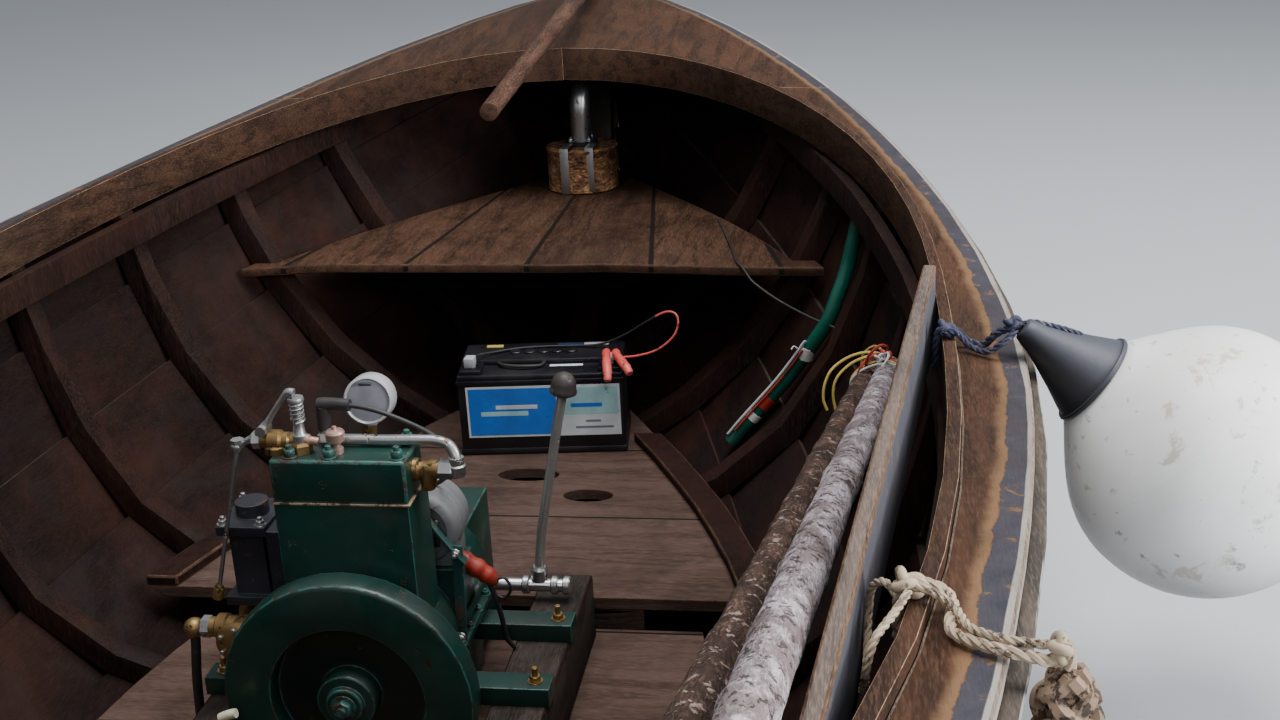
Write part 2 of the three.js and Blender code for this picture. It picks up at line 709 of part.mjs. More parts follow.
// Stern shelf of fore-and-aft planks, cut round a frame near its front
function shelf() {
  const under = SHELF.top - SHELF.thick;
  const port = [];
  for (let i = 0; i <= 8; i += 1) {
    const x = SHELF.aft + (SHELF.notch - SHELF.aft) * (i / 8);
    port.push([x, insideHalf(x, under) - FRAME.moulded - 11.8]);
  }
  const wide = (x) => insideHalf(x, under) - SHELF.side;
  port.push([SHELF.notch, wide(SHELF.notch)]);
  const starboard = port.toReversed().map(([x, y]) => [x, -y]);
  const [right, left] = SHELF_CORNERS;
  const front = [[left, wide(left)], ...SHELF_FRONT.toReversed(), [right, -wide(right)]];
  return plate([...port, ...front, ...starboard], under, SHELF.top);
}

add('stern_shelf', shelf(), 'deckWood');

// Engine bearers
const BEARER = { inner: 172, outer: 258, top: -58, aft: -630, fore: 260 };
pair(
  'engine_bearer',
  box(BEARER.aft, BEARER.fore, BEARER.inner, BEARER.outer, SOLE.foreTop + GAP, BEARER.top),
  'darkWood',
);

// Engine
const CYLINDER = { aft: -268, fore: -185, top: 283, headTop: 348 };
const MAGNETO = { y: 68, z: 186, radius: 60, foot: 124 };

function crankcase() {
  const sump = box(-490, -180, -96, 96, -150, 60);
  const barrel = bar([-490, 0, CRANK.z + 8], [-180, 0, CRANK.z + 8], 118, 118, 24);
  const crankshaft = bar([CRANK.from, 0, CRANK.z], [CRANK.to, 0, CRANK.z], CRANK.radius, CRANK.radius, 20);
  const cylinder = box(-280, CYLINDER.fore, -95, 97, 60, CYLINDER.top);
  const gearCase = box(-400, -279, -80, 4, 100, 200);
  const bracket = box(-376, -300, 60, 124, 40, MAGNETO.foot);
  const lugs = [];
  for (const side of [-1, 1]) {
    for (const x of [-250, -430]) {
      const [a, b] = [side * 80, side * 262];
      lugs.push(box(x - 22, x + 22, Math.min(a, b), Math.max(a, b), BEARER.top + GAP, BEARER.top + 30));
    }
  }
  return join(barrel, sump, cylinder, gearCase, bracket, crankshaft, ...lugs);
}

add('engine_block', crankcase(), 'greenPaint');
add('cylinder_head', box(CYLINDER.aft, CYLINDER.fore, -95, 97, CYLINDER.top + GAP, CYLINDER.headTop),
  'greenPaint');

function flywheel() {
  const r = WHEEL.radius;
  const bore = CRANK.radius + 2 * GAP;
  const profile = [
    [bore, -14], [25, -14], [27, -12], [27, -5], [41, -5], [43, -2], [43, 24], [108, 26], [112, 1],
    [r - 8, 0],
    [r - 2, 3], [r, 8], [r, WHEEL.width - 6], [r - 6, WHEEL.width], [60, WHEEL.width],
    [WHEEL.hub, WHEEL.width + WHEEL.backHub],
    [bore, WHEEL.width + WHEEL.backHub], [bore, -14],
  ].map(([radius, depth]) => new THREE.Vector2(radius, -depth)).toReversed();
  const wheel = new THREE.LatheGeometry(profile, 36);
  return wheel.rotateZ(-Math.PI / 2).translate(WHEEL.x, 0, CRANK.z);
}

add('flywheel', flywheel(), 'greenPaint');
add('exhaust_manifold', join(
  box(-310, -232, -190, -140, 113, 213),
  box(-320, -222, -204, -131, 212, 226),
  box(-320, -222, -204, -131, 100, 114),
  box(-316, -226, -132, -95 - GAP, 108, 218),
  bar([-271, -166, 225], [-271, -166, 246], 24),
), 'ironDark');
add('magneto', join(
  bar([-380, MAGNETO.y, MAGNETO.z], [-300, MAGNETO.y, MAGNETO.z], MAGNETO.radius, MAGNETO.radius, 28),
  box(-372, -308, 64, 118, MAGNETO.foot + GAP, MAGNETO.z),
), 'greyPaint');
add('water_pump', join(
  bar([-275, -178, 62], [-175, -178, 62], 30),
  bar([-225, -178, 62], [-225, -235, 62], 20),
  bar([-225, -178, 62], [-225, -115.6, 62], 18),
), 'brass');
add('valve_gear', join(
  bar([-215, -56, CYLINDER.headTop + GAP], [-215, -56, 430], 10),
  bar([-215, -92, CYLINDER.headTop + GAP], [-215, -92, 374], 16),
  bar([-215, -95, 364], [-215, -52, 364], 12),
  bar([-215, -56, 431], [-215, -68, 437], 9),
  bar([-215, -66, 436], [-215, -109, 380], 7),
  bar([-215, -107, 382], [-215, -150, 354], 7),
  bar([-215, -147, 358], [-215, -212, 118], 4.5),
), 'steel');
add('breather', join(
  bar([-300, -10, 201.7], [-300, 18, 374], 8),
  bar([-318, 19, 392], [-280, 22, 398], 35, 35, 24),
), 'greyPaint');
add('cooling_pipe', join(
  tube([[-240, -30, 356.8], [-240, 60, 356.8], [-240, 126, 356.8], [-236, 147, 352], [-229, 157, 338],
    [-227, 158, 322]], 8, 20),
  bar([-227, 97 + GAP, 320], [-227, 162, 320], 12),
  bar([-227, 158, 309], [-227, 158, 338], 12),
), 'steel');
add('gearbox', join(
  box(-636, -490 - GAP, -85, 85, -140, 100),
  bar([-540, 85, -30], [-540, 236, -30], 11),
), 'greenPaint');
add('gear_lever', join(
  bar([-540, 186, -17.5], [-540, 200, 90], 8),
  bar([-540, 200, 88], [-540, 247, 312], 8),
  new THREE.SphereGeometry(19, 16, 12).translate(-540, 250, 326),
), 'steel');

// Shaft, propeller and stern tube, on the line from the gearbox to the opening in the deadwood
const SHAFT_DROP = (SHAFT.fore[1] - SHAFT.aft[1]) / (SHAFT.fore[0] - SHAFT.aft[0]);
const shaftZ = (x) => SHAFT.fore[1] + SHAFT_DROP * (x - SHAFT.fore[0]);

function propeller() {
  const hub = new THREE.CylinderGeometry(PROP.hub, PROP.hub - 6, PROP.length, 20);
  const blade = new THREE.Shape();
  blade.moveTo(-14, 14);
  blade.bezierCurveTo(-46, 60, -44, PROP.radius, 0, PROP.radius);
  blade.bezierCurveTo(44, PROP.radius, 46, 60, 14, 14);
  blade.closePath();
  const blades = [0, 1, 2].map((i) => {
    const g = new THREE.ExtrudeGeometry(blade, { depth: 6, bevelEnabled: false, curveSegments: 8 });
    g.translate(0, 0, -3).rotateY(Math.PI / 2 - 0.55);
    return g.rotateX(Math.PI / 2).rotateY((i * 2 * Math.PI) / 3);
  });
  return join(hub, ...blades);
}

// Turns a shape made along +Y, with its middle at the origin, onto the shaft's line at x
function onShaft(geometry, x) {
  const along = new THREE.Vector3(1, 0, SHAFT_DROP).normalize();
  geometry.applyQuaternion(new THREE.Quaternion().setFromUnitVectors(new THREE.Vector3(0, 1, 0), along));
  return geometry.translate(x, 0, shaftZ(x));
}

const SHAFT_LENGTH = Math.hypot(SHAFT.fore[0] - SHAFT.aft[0], SHAFT.fore[1] - SHAFT.aft[1]);
const shaftMiddle = (SHAFT.fore[0] + SHAFT.aft[0]) / 2;
const shaft = onShaft(new THREE.CylinderGeometry(SHAFT.radius, SHAFT.radius, SHAFT_LENGTH, 16), shaftMiddle);
const PROP_BORE = SHAFT.radius + GAP;
const propBore = onShaft(new THREE.CylinderGeometry(PROP_BORE, PROP_BORE, 200, 16), PROP.x);
add('propeller_shaft', shaft, 'steel');
add('propeller', cut(onShaft(propeller(), PROP.x), propBore), 'bronze');

function sternTube() {
  const [r0, r1] = [SHAFT.radius + 2 * GAP, STERN_TUBE.radius];
  const long = STERN_TUBE.fore - STERN_TUBE.aft;
  const profile = [[r0, 0], [r1, 0], [r1, long], [r0, long], [r0, 0]];
  const wall = new THREE.LatheGeometry(profile.map(([r, h]) => new THREE.Vector2(r, h)), 20);
  return onShaft(wall.translate(0, -long / 2, 0), (STERN_TUBE.fore + STERN_TUBE.aft) / 2);
}

add('stern_tube', sternTube(), 'bronze');

// Rudder hung on the sternpost, with its tiller
const HINGE = { off: BACKBONE.outer + 26 };
const hingeX = (z) => postLine(z) - HINGE.off;

const GUDGEONS = [-270, 400];
const PINTLE = 9;
const TENON = [[hingeX(760) - 112, 0, 766], [hingeX(760) + 14, 0, 755]];
const onHinge = (z) => [hingeX(z), 0, z];

function rudder() {
  const blade = [
    [hingeX(-400) - 6, -400], [hingeX(-400) - 300, -400], [hingeX(-250) - 350, -250], [hingeX(0) - 300, 0],
    [hingeX(250) - 150, 250], [hingeX(560) - 105, 560], [hingeX(RUDDER.headZ) - 100, RUDDER.headZ],
    [hingeX(RUDDER.headZ) - 6, RUDDER.headZ],
  ];
  const half = RUDDER.thick / 2;
  const pintles = GUDGEONS.map((z) => bar(onHinge(z - 26), onHinge(z + 44), PINTLE));
  const strap = (z) => box(hingeX(z) - 90, hingeX(z + 39) + 9, -half - 4, half + 4, z + 19, z + 39);
  const straps = GUDGEONS.map(strap);
  const slots = GUDGEONS.map((z) => box(hingeX(z) - 24, hingeX(z) + 60, -40, 40, z - 20, z + 20));
  const mortise = bar(...TENON, 11 + GAP, 11 + GAP, 16);
  return join(cut(slab(blade, -half, half), mortise, ...slots), ...pintles, ...straps);
}

add('rudder', rudder(), 'oldWood');

function tiller() {
  const tip = [RUDDER.tipX, 0, RUDDER.tipZ];
  const butt = [TENON[1][0] - 6, 0, TENON[1][2] + 0.6];
  return join(bar(...TENON, 11, 11, 16), bar(butt, tip, RUDDER.stick + 4, RUDDER.stick, 16));
}

function gudgeon(z) {
  const x = hingeX(z);
  const bore = PINTLE + 2 * GAP;
  const hole = bar(onHinge(z - 20), onHinge(z + 20), bore, bore, 16);
  const eye = cut(bar(onHinge(z - 12), onHinge(z + 12), 19, 19, 20), hole);
  const strap = box(x + 15, x + HINGE.off - BACKBONE.outer - 2.6, -16, 16, z - 10, z + 10);
  return join(eye, strap);
}

add('gudgeon_lower', gudgeon(GUDGEONS[0]), 'ironDark');
add('gudgeon_upper', gudgeon(GUDGEONS[1]), 'ironDark');
add('tiller', tiller(), 'oldWood');

// Battery, silencer, poles and the rest of the gear
const BATTERY = { x: -1256, y: 47, long: 353, wide: 175, high: 190, turn: 0.096 };

// The terminal posts stand near the ends of the front edge
const TERMINAL = { inset: 34, outwards: 146, radius: 9, high: 20 };

function battery() {
  const body = box(-BATTERY.wide, 0, -BATTERY.long / 2, BATTERY.long / 2, 0, BATTERY.high);
  const posts = [-1, 1].map((side) => bar([-TERMINAL.inset, side * TERMINAL.outwards, BATTERY.high - 2],
    [-TERMINAL.inset, side * TERMINAL.outwards, BATTERY.high + TERMINAL.high], TERMINAL.radius,
    TERMINAL.radius, 12));
  return join(body, ...posts).rotateZ(BATTERY.turn).translate(BATTERY.x, BATTERY.y, SOLE.aftTop + GAP);
}

// A lead from one terminal along the battery's top, in a loop past its port end to the other terminal
const LEAD = {
  radius: 2.5,
  route: [[-1286.8, -99, 88], [-1298, -98, 88], [-1322, -88, 85], [-1352, -62, 80], [-1376, -20, 79],
    [-1389, 40, 79],
    [-1394, 100, 79], [-1390, 155, 84], [-1376, 208, 108], [-1355, 262, 146], [-1342, 304, 172],
    [-1332, 328, 172],
    [-1322, 334, 152], [-1313, 322, 126], [-1306, 290, 102], [-1303, 250, 90], [-1302, 218, 87],
    [-1303.6, 205.6, 87]],
};

// A thin cable from a clip on the shelf, over the shelf's edge and across to the hose
const CABLE = {
  radius: 2.5,
  route: [[-1758, 382, 258.8], [-1735, 388, 258.3], [-1690, 398, 258.2], [-1640, 408, 258.2],
    [-1580, 420, 258.2],
    [-1520, 432, 258.2], [-1460, 443, 258.2], [-1420, 450, 258.3], [-1396, 457, 259.2], [-1381, 465, 256.6],
    [-1373, 474, 246], [-1362, 487, 232], [-1342, 514, 217], [-1316, 541, 207], [-1286, 572, 199],
    [-1258, 603, 192], [-1234, 634, 186], [-1212, 668.5, 179]],
};

add('battery', battery(), 'blackPlastic');
add('battery_lead', tube(LEAD.route, LEAD.radius, 48), 'darkRubber');
add('shelf_cable', tube(CABLE.route, CABLE.radius, 36), 'darkRubber');
add('silencer', bar([-2105, 8, SHELF.top + GAP], [-2105, 8, SHELF.top + 110], 92, 92, 32), 'rust');
add('silencer_riser', tube([[-2105, 8, SHELF.top + 110 + GAP], [-2105, 8, 430], [-2108, 9, 478],
  [-2135, 16, 512],
  [-2180, 30, 520], [-2290, 62, 521]], 26, 14, 16), 'steel');

// Two poles along the port side: aft ends low against the frames, resting on the coaming forward
const POLES = [
  { name: 'pole_brown', aft: [-905, 727.7, 220.8],
    fore: [1560, 499.7, 713], radii: [18, 22], finish: 'poleBrown' },
  { name: 'pole_grey', aft: [-799, 754.5, 256], fore: [1480, 556.5, 722],
    radii: [21, 24], finish: 'poleGrey' },
];
POLES.forEach((pole) => add(pole.name, bar(pole.aft, pole.fore, ...pole.radii, 14), pole.finish));

// A plank on edge inside the coaming, a chord of its curve
const BOARD = { aft: [-430, 798.8], fore: [760, 658.7], thick: 18, foot: 428, top: 548 };

function plankBoard() {
  const [dx, dy] = [BOARD.fore[0] - BOARD.aft[0], BOARD.fore[1] - BOARD.aft[1]];
  const size = Math.hypot(dx, dy);
  const body = box(0, size, -BOARD.thick / 2, BOARD.thick / 2, BOARD.foot, BOARD.top);
  return body.rotateZ(Math.atan2(dy, dx)).translate(BOARD.aft[0], BOARD.aft[1], 0);
}

add('plank_board', plankBoard(), 'poleBrown');

// Teardrop fender with its cone-shaped cap on the deck's edge
const FENDER = {
  tip: [-228, 905, 526],
  middle: [-201, 1129, 360],
  radius: 172,
  capLong: 112,
  capTip: 15,
  capFoot: 60,
};

function onFender(profile, sides) {
  const [tip, middle] = [FENDER.tip, FENDER.middle].map((p) => new THREE.Vector3(...p));
  const shape = new THREE.LatheGeometry(profile.map(([r, h]) => new THREE.Vector2(r, h)), sides);
  const along = middle.sub(tip).normalize();
  shape.applyQuaternion(new THREE.Quaternion().setFromUnitVectors(new THREE.Vector3(0, 1, 0), along));
  return shape.translate(...tip.toArray());
}

function fender() {
  const reach = new THREE.Vector3(...FENDER.tip).distanceTo(new THREE.Vector3(...FENDER.middle));
  const from = FENDER.capLong + GAP;
  const line = new THREE.CubicBezierCurve(
    new THREE.Vector2(FENDER.capFoot, from),
    new THREE.Vector2(118, from + 50),
    new THREE.Vector2(FENDER.radius, reach - 84),
    new THREE.Vector2(FENDER.radius, reach),
  );
  const shoulder = line.getPoints(7).map((p) => [p.x, p.y]);
  const bulb = [1, 2, 3, 4, 5, 6].map((i) => {
    const a = (i / 6) * (Math.PI / 2);
    return [FENDER.radius * Math.cos(a), reach + FENDER.radius * Math.sin(a)];
  });
  bulb.at(-1)[0] = 0;
  return onFender([[0, from], ...shoulder, ...bulb], 28);
}

add('fender', fender(), 'whitePlastic');
add('fender_cap', onFender([[0, 0], [FENDER.capTip, 2], [FENDER.capTip + 6, 22],
  [FENDER.capFoot, FENDER.capLong],
  [0, FENDER.capLong]], 24), 'darkRubber');

// A rope that runs from inside the coaming, over its top and across the deck
function deckRope(x, radius, tail, steps) {
  const lip = coamingHalf(x);
  const top = (y, at = x) => deckTop(at, y) + radius + 2 * GAP;
  const crest = deckTop(x, lip) + COAMING.above + radius + 2 * GAP;
  const inside = lip - 1.8 * radius + 1;
  return tube([[x, inside, crest - 46], [x, inside, crest - 14], [x, lip - 2, crest + 4],
    [x, lip + COAMING.thick + 1, crest + 3],
    [x, lip + COAMING.thick + radius + 10, top(lip + 30) + 4], ...tail(top)],
  radius, steps);
}

const NAVY = { x: -262, radius: 5 };
add('fender_rope', deckRope(NAVY.x, NAVY.radius, (top) => [[NAVY.x + 8, 860, top(860) + 2],
  [NAVY.x + 20, 876, 514],
  [FENDER.tip[0] - 2.3, FENDER.tip[1] - 3.4, FENDER.tip[2] + 2.3]], 24), 'navyRope');

// A fender of knotted rope under the deck's edge, on a rope round the coaming
const KNOTTED = { x: 545, ropeX: 462, radius: 29, top: 512, long: 290 };

function knottedY() {
  return halfBreadth(KNOTTED.x) + RAIL.wide + KNOTTED.radius - 5;
}

function ropeFender() {
  const r = KNOTTED.radius;
  const foot = KNOTTED.top - KNOTTED.long;
  const profile = [[0, foot], [r * 0.6, foot + 4], [r, foot + 26], [r, KNOTTED.top - 30],
    [r * 0.5, KNOTTED.top - 4],
    [0, KNOTTED.top]].map(([radius, h]) => new THREE.Vector2(radius, h));
  return new THREE.LatheGeometry(profile, 14).rotateX(Math.PI / 2).translate(KNOTTED.x, knottedY(), 0);
}

add('rope_fender', ropeFender(), 'rope');
add('rope_fender_rope', deckRope(KNOTTED.ropeX, 7, (top) => {
  const { x, top: high } = KNOTTED;
  const edge = halfBreadth(x);
  return [
    [x - 34, edge - 40, top(edge - 40, x - 34)],
    [x - 5, edge - 6, top(edge, x) + 1],
    [x, edge + 14, top(edge, x)],
    [x, edge + 34, top(edge, x) - 4],
    [x, knottedY() - 3, high + 22],
    [x, knottedY(), high + 10],
    [x, knottedY(), high + GAP],
  ];
}, 26), 'rope');

// Hose down the port quarter, in the corner between a frame and the planking
const HOSE = { radius: 13, aftOfFrame: -1158 };

// A point a given distance inside the planking
function offHull(x, z, distance) {
  const t = levelAt(x, z);
  const [a, b] = [insideAt(x, Math.max(0, t - 0.03)), insideAt(x, Math.min(0.999, t + 0.03))];
  const size = Math.hypot(b[1] - a[1], b[2] - a[2]);
  const p = insideAt(x, t);
  return [x, p[1] - ((b[2] - a[2]) / size) * distance, p[2] + ((b[1] - a[1]) / size) * distance];
}

function greenHose() {
  const corner = HOSE.aftOfFrame - HOSE.radius - 3;
  const route = [[-1272, 440, 74], [-1270, 420, 74], [-1264, 385, 70], [-1254, 335, 26],
    [-1244, 285, 3], [-1230, 240, 2],
    [-1206, 195, 2], [-1186, 150, 2], [corner, 105, 2], [corner, 40, 2], [corner, -30, 2], [corner, -78, 6]];
  return tube(route.map(([x, z, off]) => offHull(x, z, HOSE.radius + 1 + off)), HOSE.radius, 36, 10);
}

add('green_hose', greenHose(), 'hose');

export default boat;
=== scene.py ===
# %% [markdown]
# A small double-ended wooden boat with an open engine in it. The solids of the hull, the decks and the engine
# come ready made, at their real size in metres: bow along +X, port side along +Y, water at z = 0.
# This lesson gives each of them its surface, and adds the small things that make a working boat look used.

# %% Load the frame
import json
import math

import bmesh
import bpy
from mathutils import Matrix, Vector, noise
from mathutils.geometry import interpolate_bezier

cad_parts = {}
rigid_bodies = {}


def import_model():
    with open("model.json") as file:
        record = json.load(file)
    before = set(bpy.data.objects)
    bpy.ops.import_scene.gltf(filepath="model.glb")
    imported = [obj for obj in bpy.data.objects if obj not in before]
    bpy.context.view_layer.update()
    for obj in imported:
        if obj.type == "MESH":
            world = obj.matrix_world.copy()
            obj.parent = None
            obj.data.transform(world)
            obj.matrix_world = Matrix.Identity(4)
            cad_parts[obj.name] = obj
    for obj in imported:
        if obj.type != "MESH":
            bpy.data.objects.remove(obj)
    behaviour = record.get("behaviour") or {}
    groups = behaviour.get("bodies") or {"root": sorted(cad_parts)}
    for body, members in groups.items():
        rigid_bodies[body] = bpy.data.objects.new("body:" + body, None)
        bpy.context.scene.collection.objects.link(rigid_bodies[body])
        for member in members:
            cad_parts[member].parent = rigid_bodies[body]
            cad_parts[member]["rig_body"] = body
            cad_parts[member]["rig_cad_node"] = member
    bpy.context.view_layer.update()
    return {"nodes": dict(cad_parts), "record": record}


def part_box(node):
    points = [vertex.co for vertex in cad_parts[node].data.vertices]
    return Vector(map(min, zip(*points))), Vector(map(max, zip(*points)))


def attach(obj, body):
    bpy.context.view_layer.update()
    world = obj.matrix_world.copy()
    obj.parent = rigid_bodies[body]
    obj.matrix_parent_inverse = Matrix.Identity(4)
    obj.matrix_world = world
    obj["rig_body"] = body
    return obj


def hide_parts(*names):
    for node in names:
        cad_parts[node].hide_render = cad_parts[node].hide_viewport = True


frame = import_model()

nodes = frame["nodes"]

# %% [markdown]
# The camera stands over the foredeck, a good metre above the water, and looks aft and down, a little to
# starboard. Three turns set it: round the upright axis, down to the engine, and a small roll.

# %% Camera
CAMERA_PLACE = Vector((1.595, 0.698, 1.159))
CAMERA_ROUND = math.radians(98.717)
CAMERA_DOWN = math.radians(20.198)
CAMERA_ROLL = math.radians(-2.786)
CAMERA_LENS, FILM_WIDTH = 42.19, 36

bpy.ops.object.select_all(action="DESELECT")
bpy.ops.object.camera_add(location=CAMERA_PLACE)
camera = bpy.context.object
camera.data.lens = CAMERA_LENS
camera.data.sensor_width = FILM_WIDTH
camera.matrix_world = (Matrix.Translation(CAMERA_PLACE)
                       @ Matrix.Rotation(CAMERA_ROUND, 4, "Z")
                       @ Matrix.Rotation(math.pi / 2 - CAMERA_DOWN, 4, "X")
                       @ Matrix.Rotation(CAMERA_ROLL, 4, "Z"))
bpy.context.scene.camera = camera
print("camera lens:", camera.data.lens, "mm")

# %% [markdown]
# Two loose electric leads lie in the boat: one loops from one battery post to the other, and a thinner one
# runs from a clip on the stern shelf over the shelf's edge to the hose. A cable is a round section swept
# along a smooth line through the places where it rests. The same sweep serves every pipe, wire and rope of
# the boat, so it gets a helper: Blender's curve does the sweeping, and converting it gives a plain mesh.

# %% Sweeping a round section along a line
ROUND_SHADING = math.radians(50)


def smooth_line(places, steps=6):
    """A smooth line through all the places, with a number of steps between each two."""
    knots = [Vector(place) for place in places]
    ends = [knots[0] * 2 - knots[1], *knots, knots[-1] * 2 - knots[-2]]
    line = []
    for a, b, c, d in zip(ends, ends[1:], ends[2:], ends[3:]):
        for i in range(steps):
            t = i / steps
            line.append(.5 * (2 * b + (c - a) * t + (2 * a - 5 * b + 4 * c - d) * t ** 2
                              + (3 * b - a - 3 * c + d) * t ** 3))
    return [*line, knots[-1]]


def length_of(line):
    return sum((b - a).length for a, b in zip(line, line[1:]))


def select_only(*pieces):
    """Select these objects and nothing else; the last one is active."""
    bpy.ops.object.select_all(action="DESELECT")
    for piece in pieces:
        piece.select_set(True)
    bpy.context.view_layer.objects.active = pieces[-1]


def linked(name, data):
    """A new object for this data, in the scene and selected."""
    piece = bpy.data.objects.new(name, data)
    bpy.context.scene.collection.objects.link(piece)
    select_only(piece)
    return piece


def sweep(name, line, radius, roundness=2, radii=None, closed=False, finish=None):
    """A round section swept along a line, as a mesh; radii scale it from point to point."""
    data = bpy.data.curves.new(name, "CURVE")
    data.dimensions = "3D"
    data.bevel_depth = radius
    data.bevel_resolution = roundness
    data.use_fill_caps = not closed
    spline = data.splines.new("POLY")
    spline.points.add(len(line) - 1)
    spline.use_cyclic_u = closed
    for i, (knot, place) in enumerate(zip(spline.points, line)):
        knot.co = (*place, 1)
        knot.radius = radii[i] if radii else 1
    linked(name, data)
    bpy.ops.object.convert(target="MESH")
    bpy.ops.object.shade_smooth_by_angle(angle=ROUND_SHADING)
    if finish:
        bpy.context.object.data.materials.append(finish)
    return bpy.context.object


# %% Free cables
BATTERY_LEAD = [
    (-1.2868, -.099, .088), (-1.298, -.098, .088), (-1.322, -.088, .085), (-1.352, -.062, .080),
    (-1.376, -.020, .079), (-1.389, .040, .079), (-1.394, .100, .079), (-1.390, .155, .084),
    (-1.376, .208, .108), (-1.355, .262, .146), (-1.342, .304, .172), (-1.332, .328, .172),
    (-1.322, .334, .152), (-1.313, .322, .126), (-1.306, .290, .102), (-1.303, .250, .090),
    (-1.302, .218, .087), (-1.3036, .2056, .087)]
SHELF_CABLE = [
    (-1.758, .382, .2588), (-1.735, .388, .2583), (-1.690, .398, .2582), (-1.640, .408, .2582),
    (-1.580, .420, .2582), (-1.520, .432, .2582), (-1.460, .443, .2582), (-1.420, .450, .2583),
    (-1.396, .457, .2592), (-1.381, .465, .2566), (-1.373, .474, .246), (-1.362, .487, .232),
    (-1.342, .514, .217), (-1.316, .541, .207), (-1.286, .572, .199), (-1.258, .603, .192),
    (-1.234, .634, .186), (-1.212, .6685, .179)]
CABLE_DIAMETER = .005
CABLES = {"battery_lead": BATTERY_LEAD, "shelf_cable": SHELF_CABLE}

leads = {}
for node_name, places in CABLES.items():
    line = smooth_line(places)
    lead = sweep(f"{node_name}_wire", line, CABLE_DIAMETER / 2)
    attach(lead, "root")
    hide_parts(node_name)
    leads[node_name] = lead
    print(lead.name, "length", round(length_of(line), 4))

# %% [markdown]
# The boat is shown afloat, so the floor lies at the waterline and is cut away where the hull stands in it:
# otherwise it would show inside, over the floor boards. Rays shot inwards near z = 0 find the hull's own
# outline. A ray can slip through the hairline between two strakes, so several are shot and the outermost
# hit is kept. The outline, drawn in by a few millimetres, is the inner edge of a wide, pale ring.

# %% Floor with a hole for the hull
SKIN = ["lower_planking_starboard", "upper_planking_starboard", "stem", "sternpost", "keel"]
FLOOR_REACH = 40.0
STATION_STEP = .05
RAY_HEIGHTS = (-.012, -.006, 0, .006, .012)
RAY_FROM_END, RAY_FROM_SIDE = 4, 2
INTO_THE_PLANK = .004
RIM_STRETCH = 3
PALE_GREY = (.42, .445, .475, 1)


def facing_out(piece):
    """Turn a selected mesh's faces to the same side, outwards where it is closed."""
    bpy.ops.object.mode_set(mode="EDIT")
    bpy.ops.mesh.select_all(action="SELECT")
    bpy.ops.mesh.normals_make_consistent(inside=False)
    bpy.ops.object.mode_set(mode="OBJECT")
    return piece


def first_hit(start, direction):
    """The nearest point of the hull's skin along a ray."""
    hits = [nodes[name].ray_cast(start, direction) for name in SKIN]
    places = [hit[1] for hit in hits if hit[0]]
    return min(places, key=lambda place: (place - Vector(start)).length) if places else None


def half_at_waterline(x):
    """Half the hull's breadth at the waterline, or none off its ends."""
    hits = [first_hit((x, -RAY_FROM_SIDE, z), (0, 1, 0)) for z in RAY_HEIGHTS]
    return max((-hit.y for hit in hits if hit), default=None)


bow = first_hit((RAY_FROM_END, 0, 0), (-1, 0, 0)).x
stern = first_hit((-RAY_FROM_END, 0, 0), (1, 0, 0)).x
steps = int((bow - stern) / STATION_STEP)
outline = [Vector((stern + INTO_THE_PLANK, 0, 0))]
for i in range(1, steps):
    x = stern + (bow - stern) * i / steps
    half = half_at_waterline(x)
    if half and half > INTO_THE_PLANK:
        outline.append(Vector((x, INTO_THE_PLANK - half, 0)))
outline.append(Vector((bow - INTO_THE_PLANK, 0, 0)))
outline += [Vector((p.x, -p.y, 0)) for p in reversed(outline[1:-1])]
rim = [Vector((math.cos(a), math.sin(a), 0)) * FLOOR_REACH
       for a in (math.atan2(p.y, p.x / RIM_STRETCH) for p in outline)]
count = len(outline)
floor_mesh = bpy.data.meshes.new("floor")
floor_mesh.from_pydata([*outline, *rim], [],
                       [(i, i + count, (i + 1) % count + count, (i + 1) % count) for i in range(count)])
floor = facing_out(linked("floor", floor_mesh))
if floor_mesh.polygons[0].normal.z < 0:
    floor_mesh.flip_normals()

pale = bpy.data.materials.new("pale_floor")
pale.use_nodes = True
pale_inputs = pale.node_tree.nodes["Principled BSDF"].inputs
pale_inputs["Base Color"].default_value = PALE_GREY
pale_inputs["Roughness"].default_value = .8
floor_mesh.materials.append(pale)
print("waterline from", round(stern, 3), "to", round(bow, 3), "with", count, "points")

# %% [markdown]
# Soft light of an overcast sky: an even grey world, one wide lamp overhead, and a faint one over the bow.
# Two more stand on the port side, a high and a low one, and give the poles and the fender a lit flank and a
# shaded one.

# %% Light
world = bpy.data.worlds.new("overcast")
bpy.context.scene.world = world
world.use_nodes = True
background = world.node_tree.nodes["Background"].inputs
background["Color"].default_value = (.86, .89, .95, 1)
background["Strength"].default_value = .50


def soft_lamp(name, place, target, size, power, colour):
    """A square area lamp that points at a target."""
    bpy.ops.object.select_all(action="DESELECT")
    bpy.ops.object.light_add(type="AREA", location=place)
    lamp = bpy.context.object
    lamp.name = name
    lamp.data.size = size
    lamp.data.energy = power
    lamp.data.color = colour
    lamp.rotation_mode = "QUATERNION"
    lamp.rotation_quaternion = (Vector(target) - Vector(place)).to_track_quat("-Z", "Y")


soft_lamp("sky_lamp", (-.6, .8, 5.5), (-.5, 0, 0), 3.2, 350, (1, .99, .97))
soft_lamp("port_lamp", (-.5, 4.6, 3.4), (-.6, .3, .2), 2.2, 200, (1, .98, .96))
soft_lamp("bow_lamp", (5, 1.5, 3.5), (0, 0, .2), 3, 60, (1, .99, .97))
soft_lamp("low_port_lamp", (1.5, 4.4, 1.4), (-.2, 1.13, .37), 1.2, 210, (1, 1, 1))

# %% [markdown]
# Every finish in this boat is built from nodes. A few effects come back in many of them, so they are made
# once as node groups: the grain of timber, boards with seams, blotches of dirt, and chips in paint. A short
# helper adds a node, sets what it is given and links what comes as a socket.

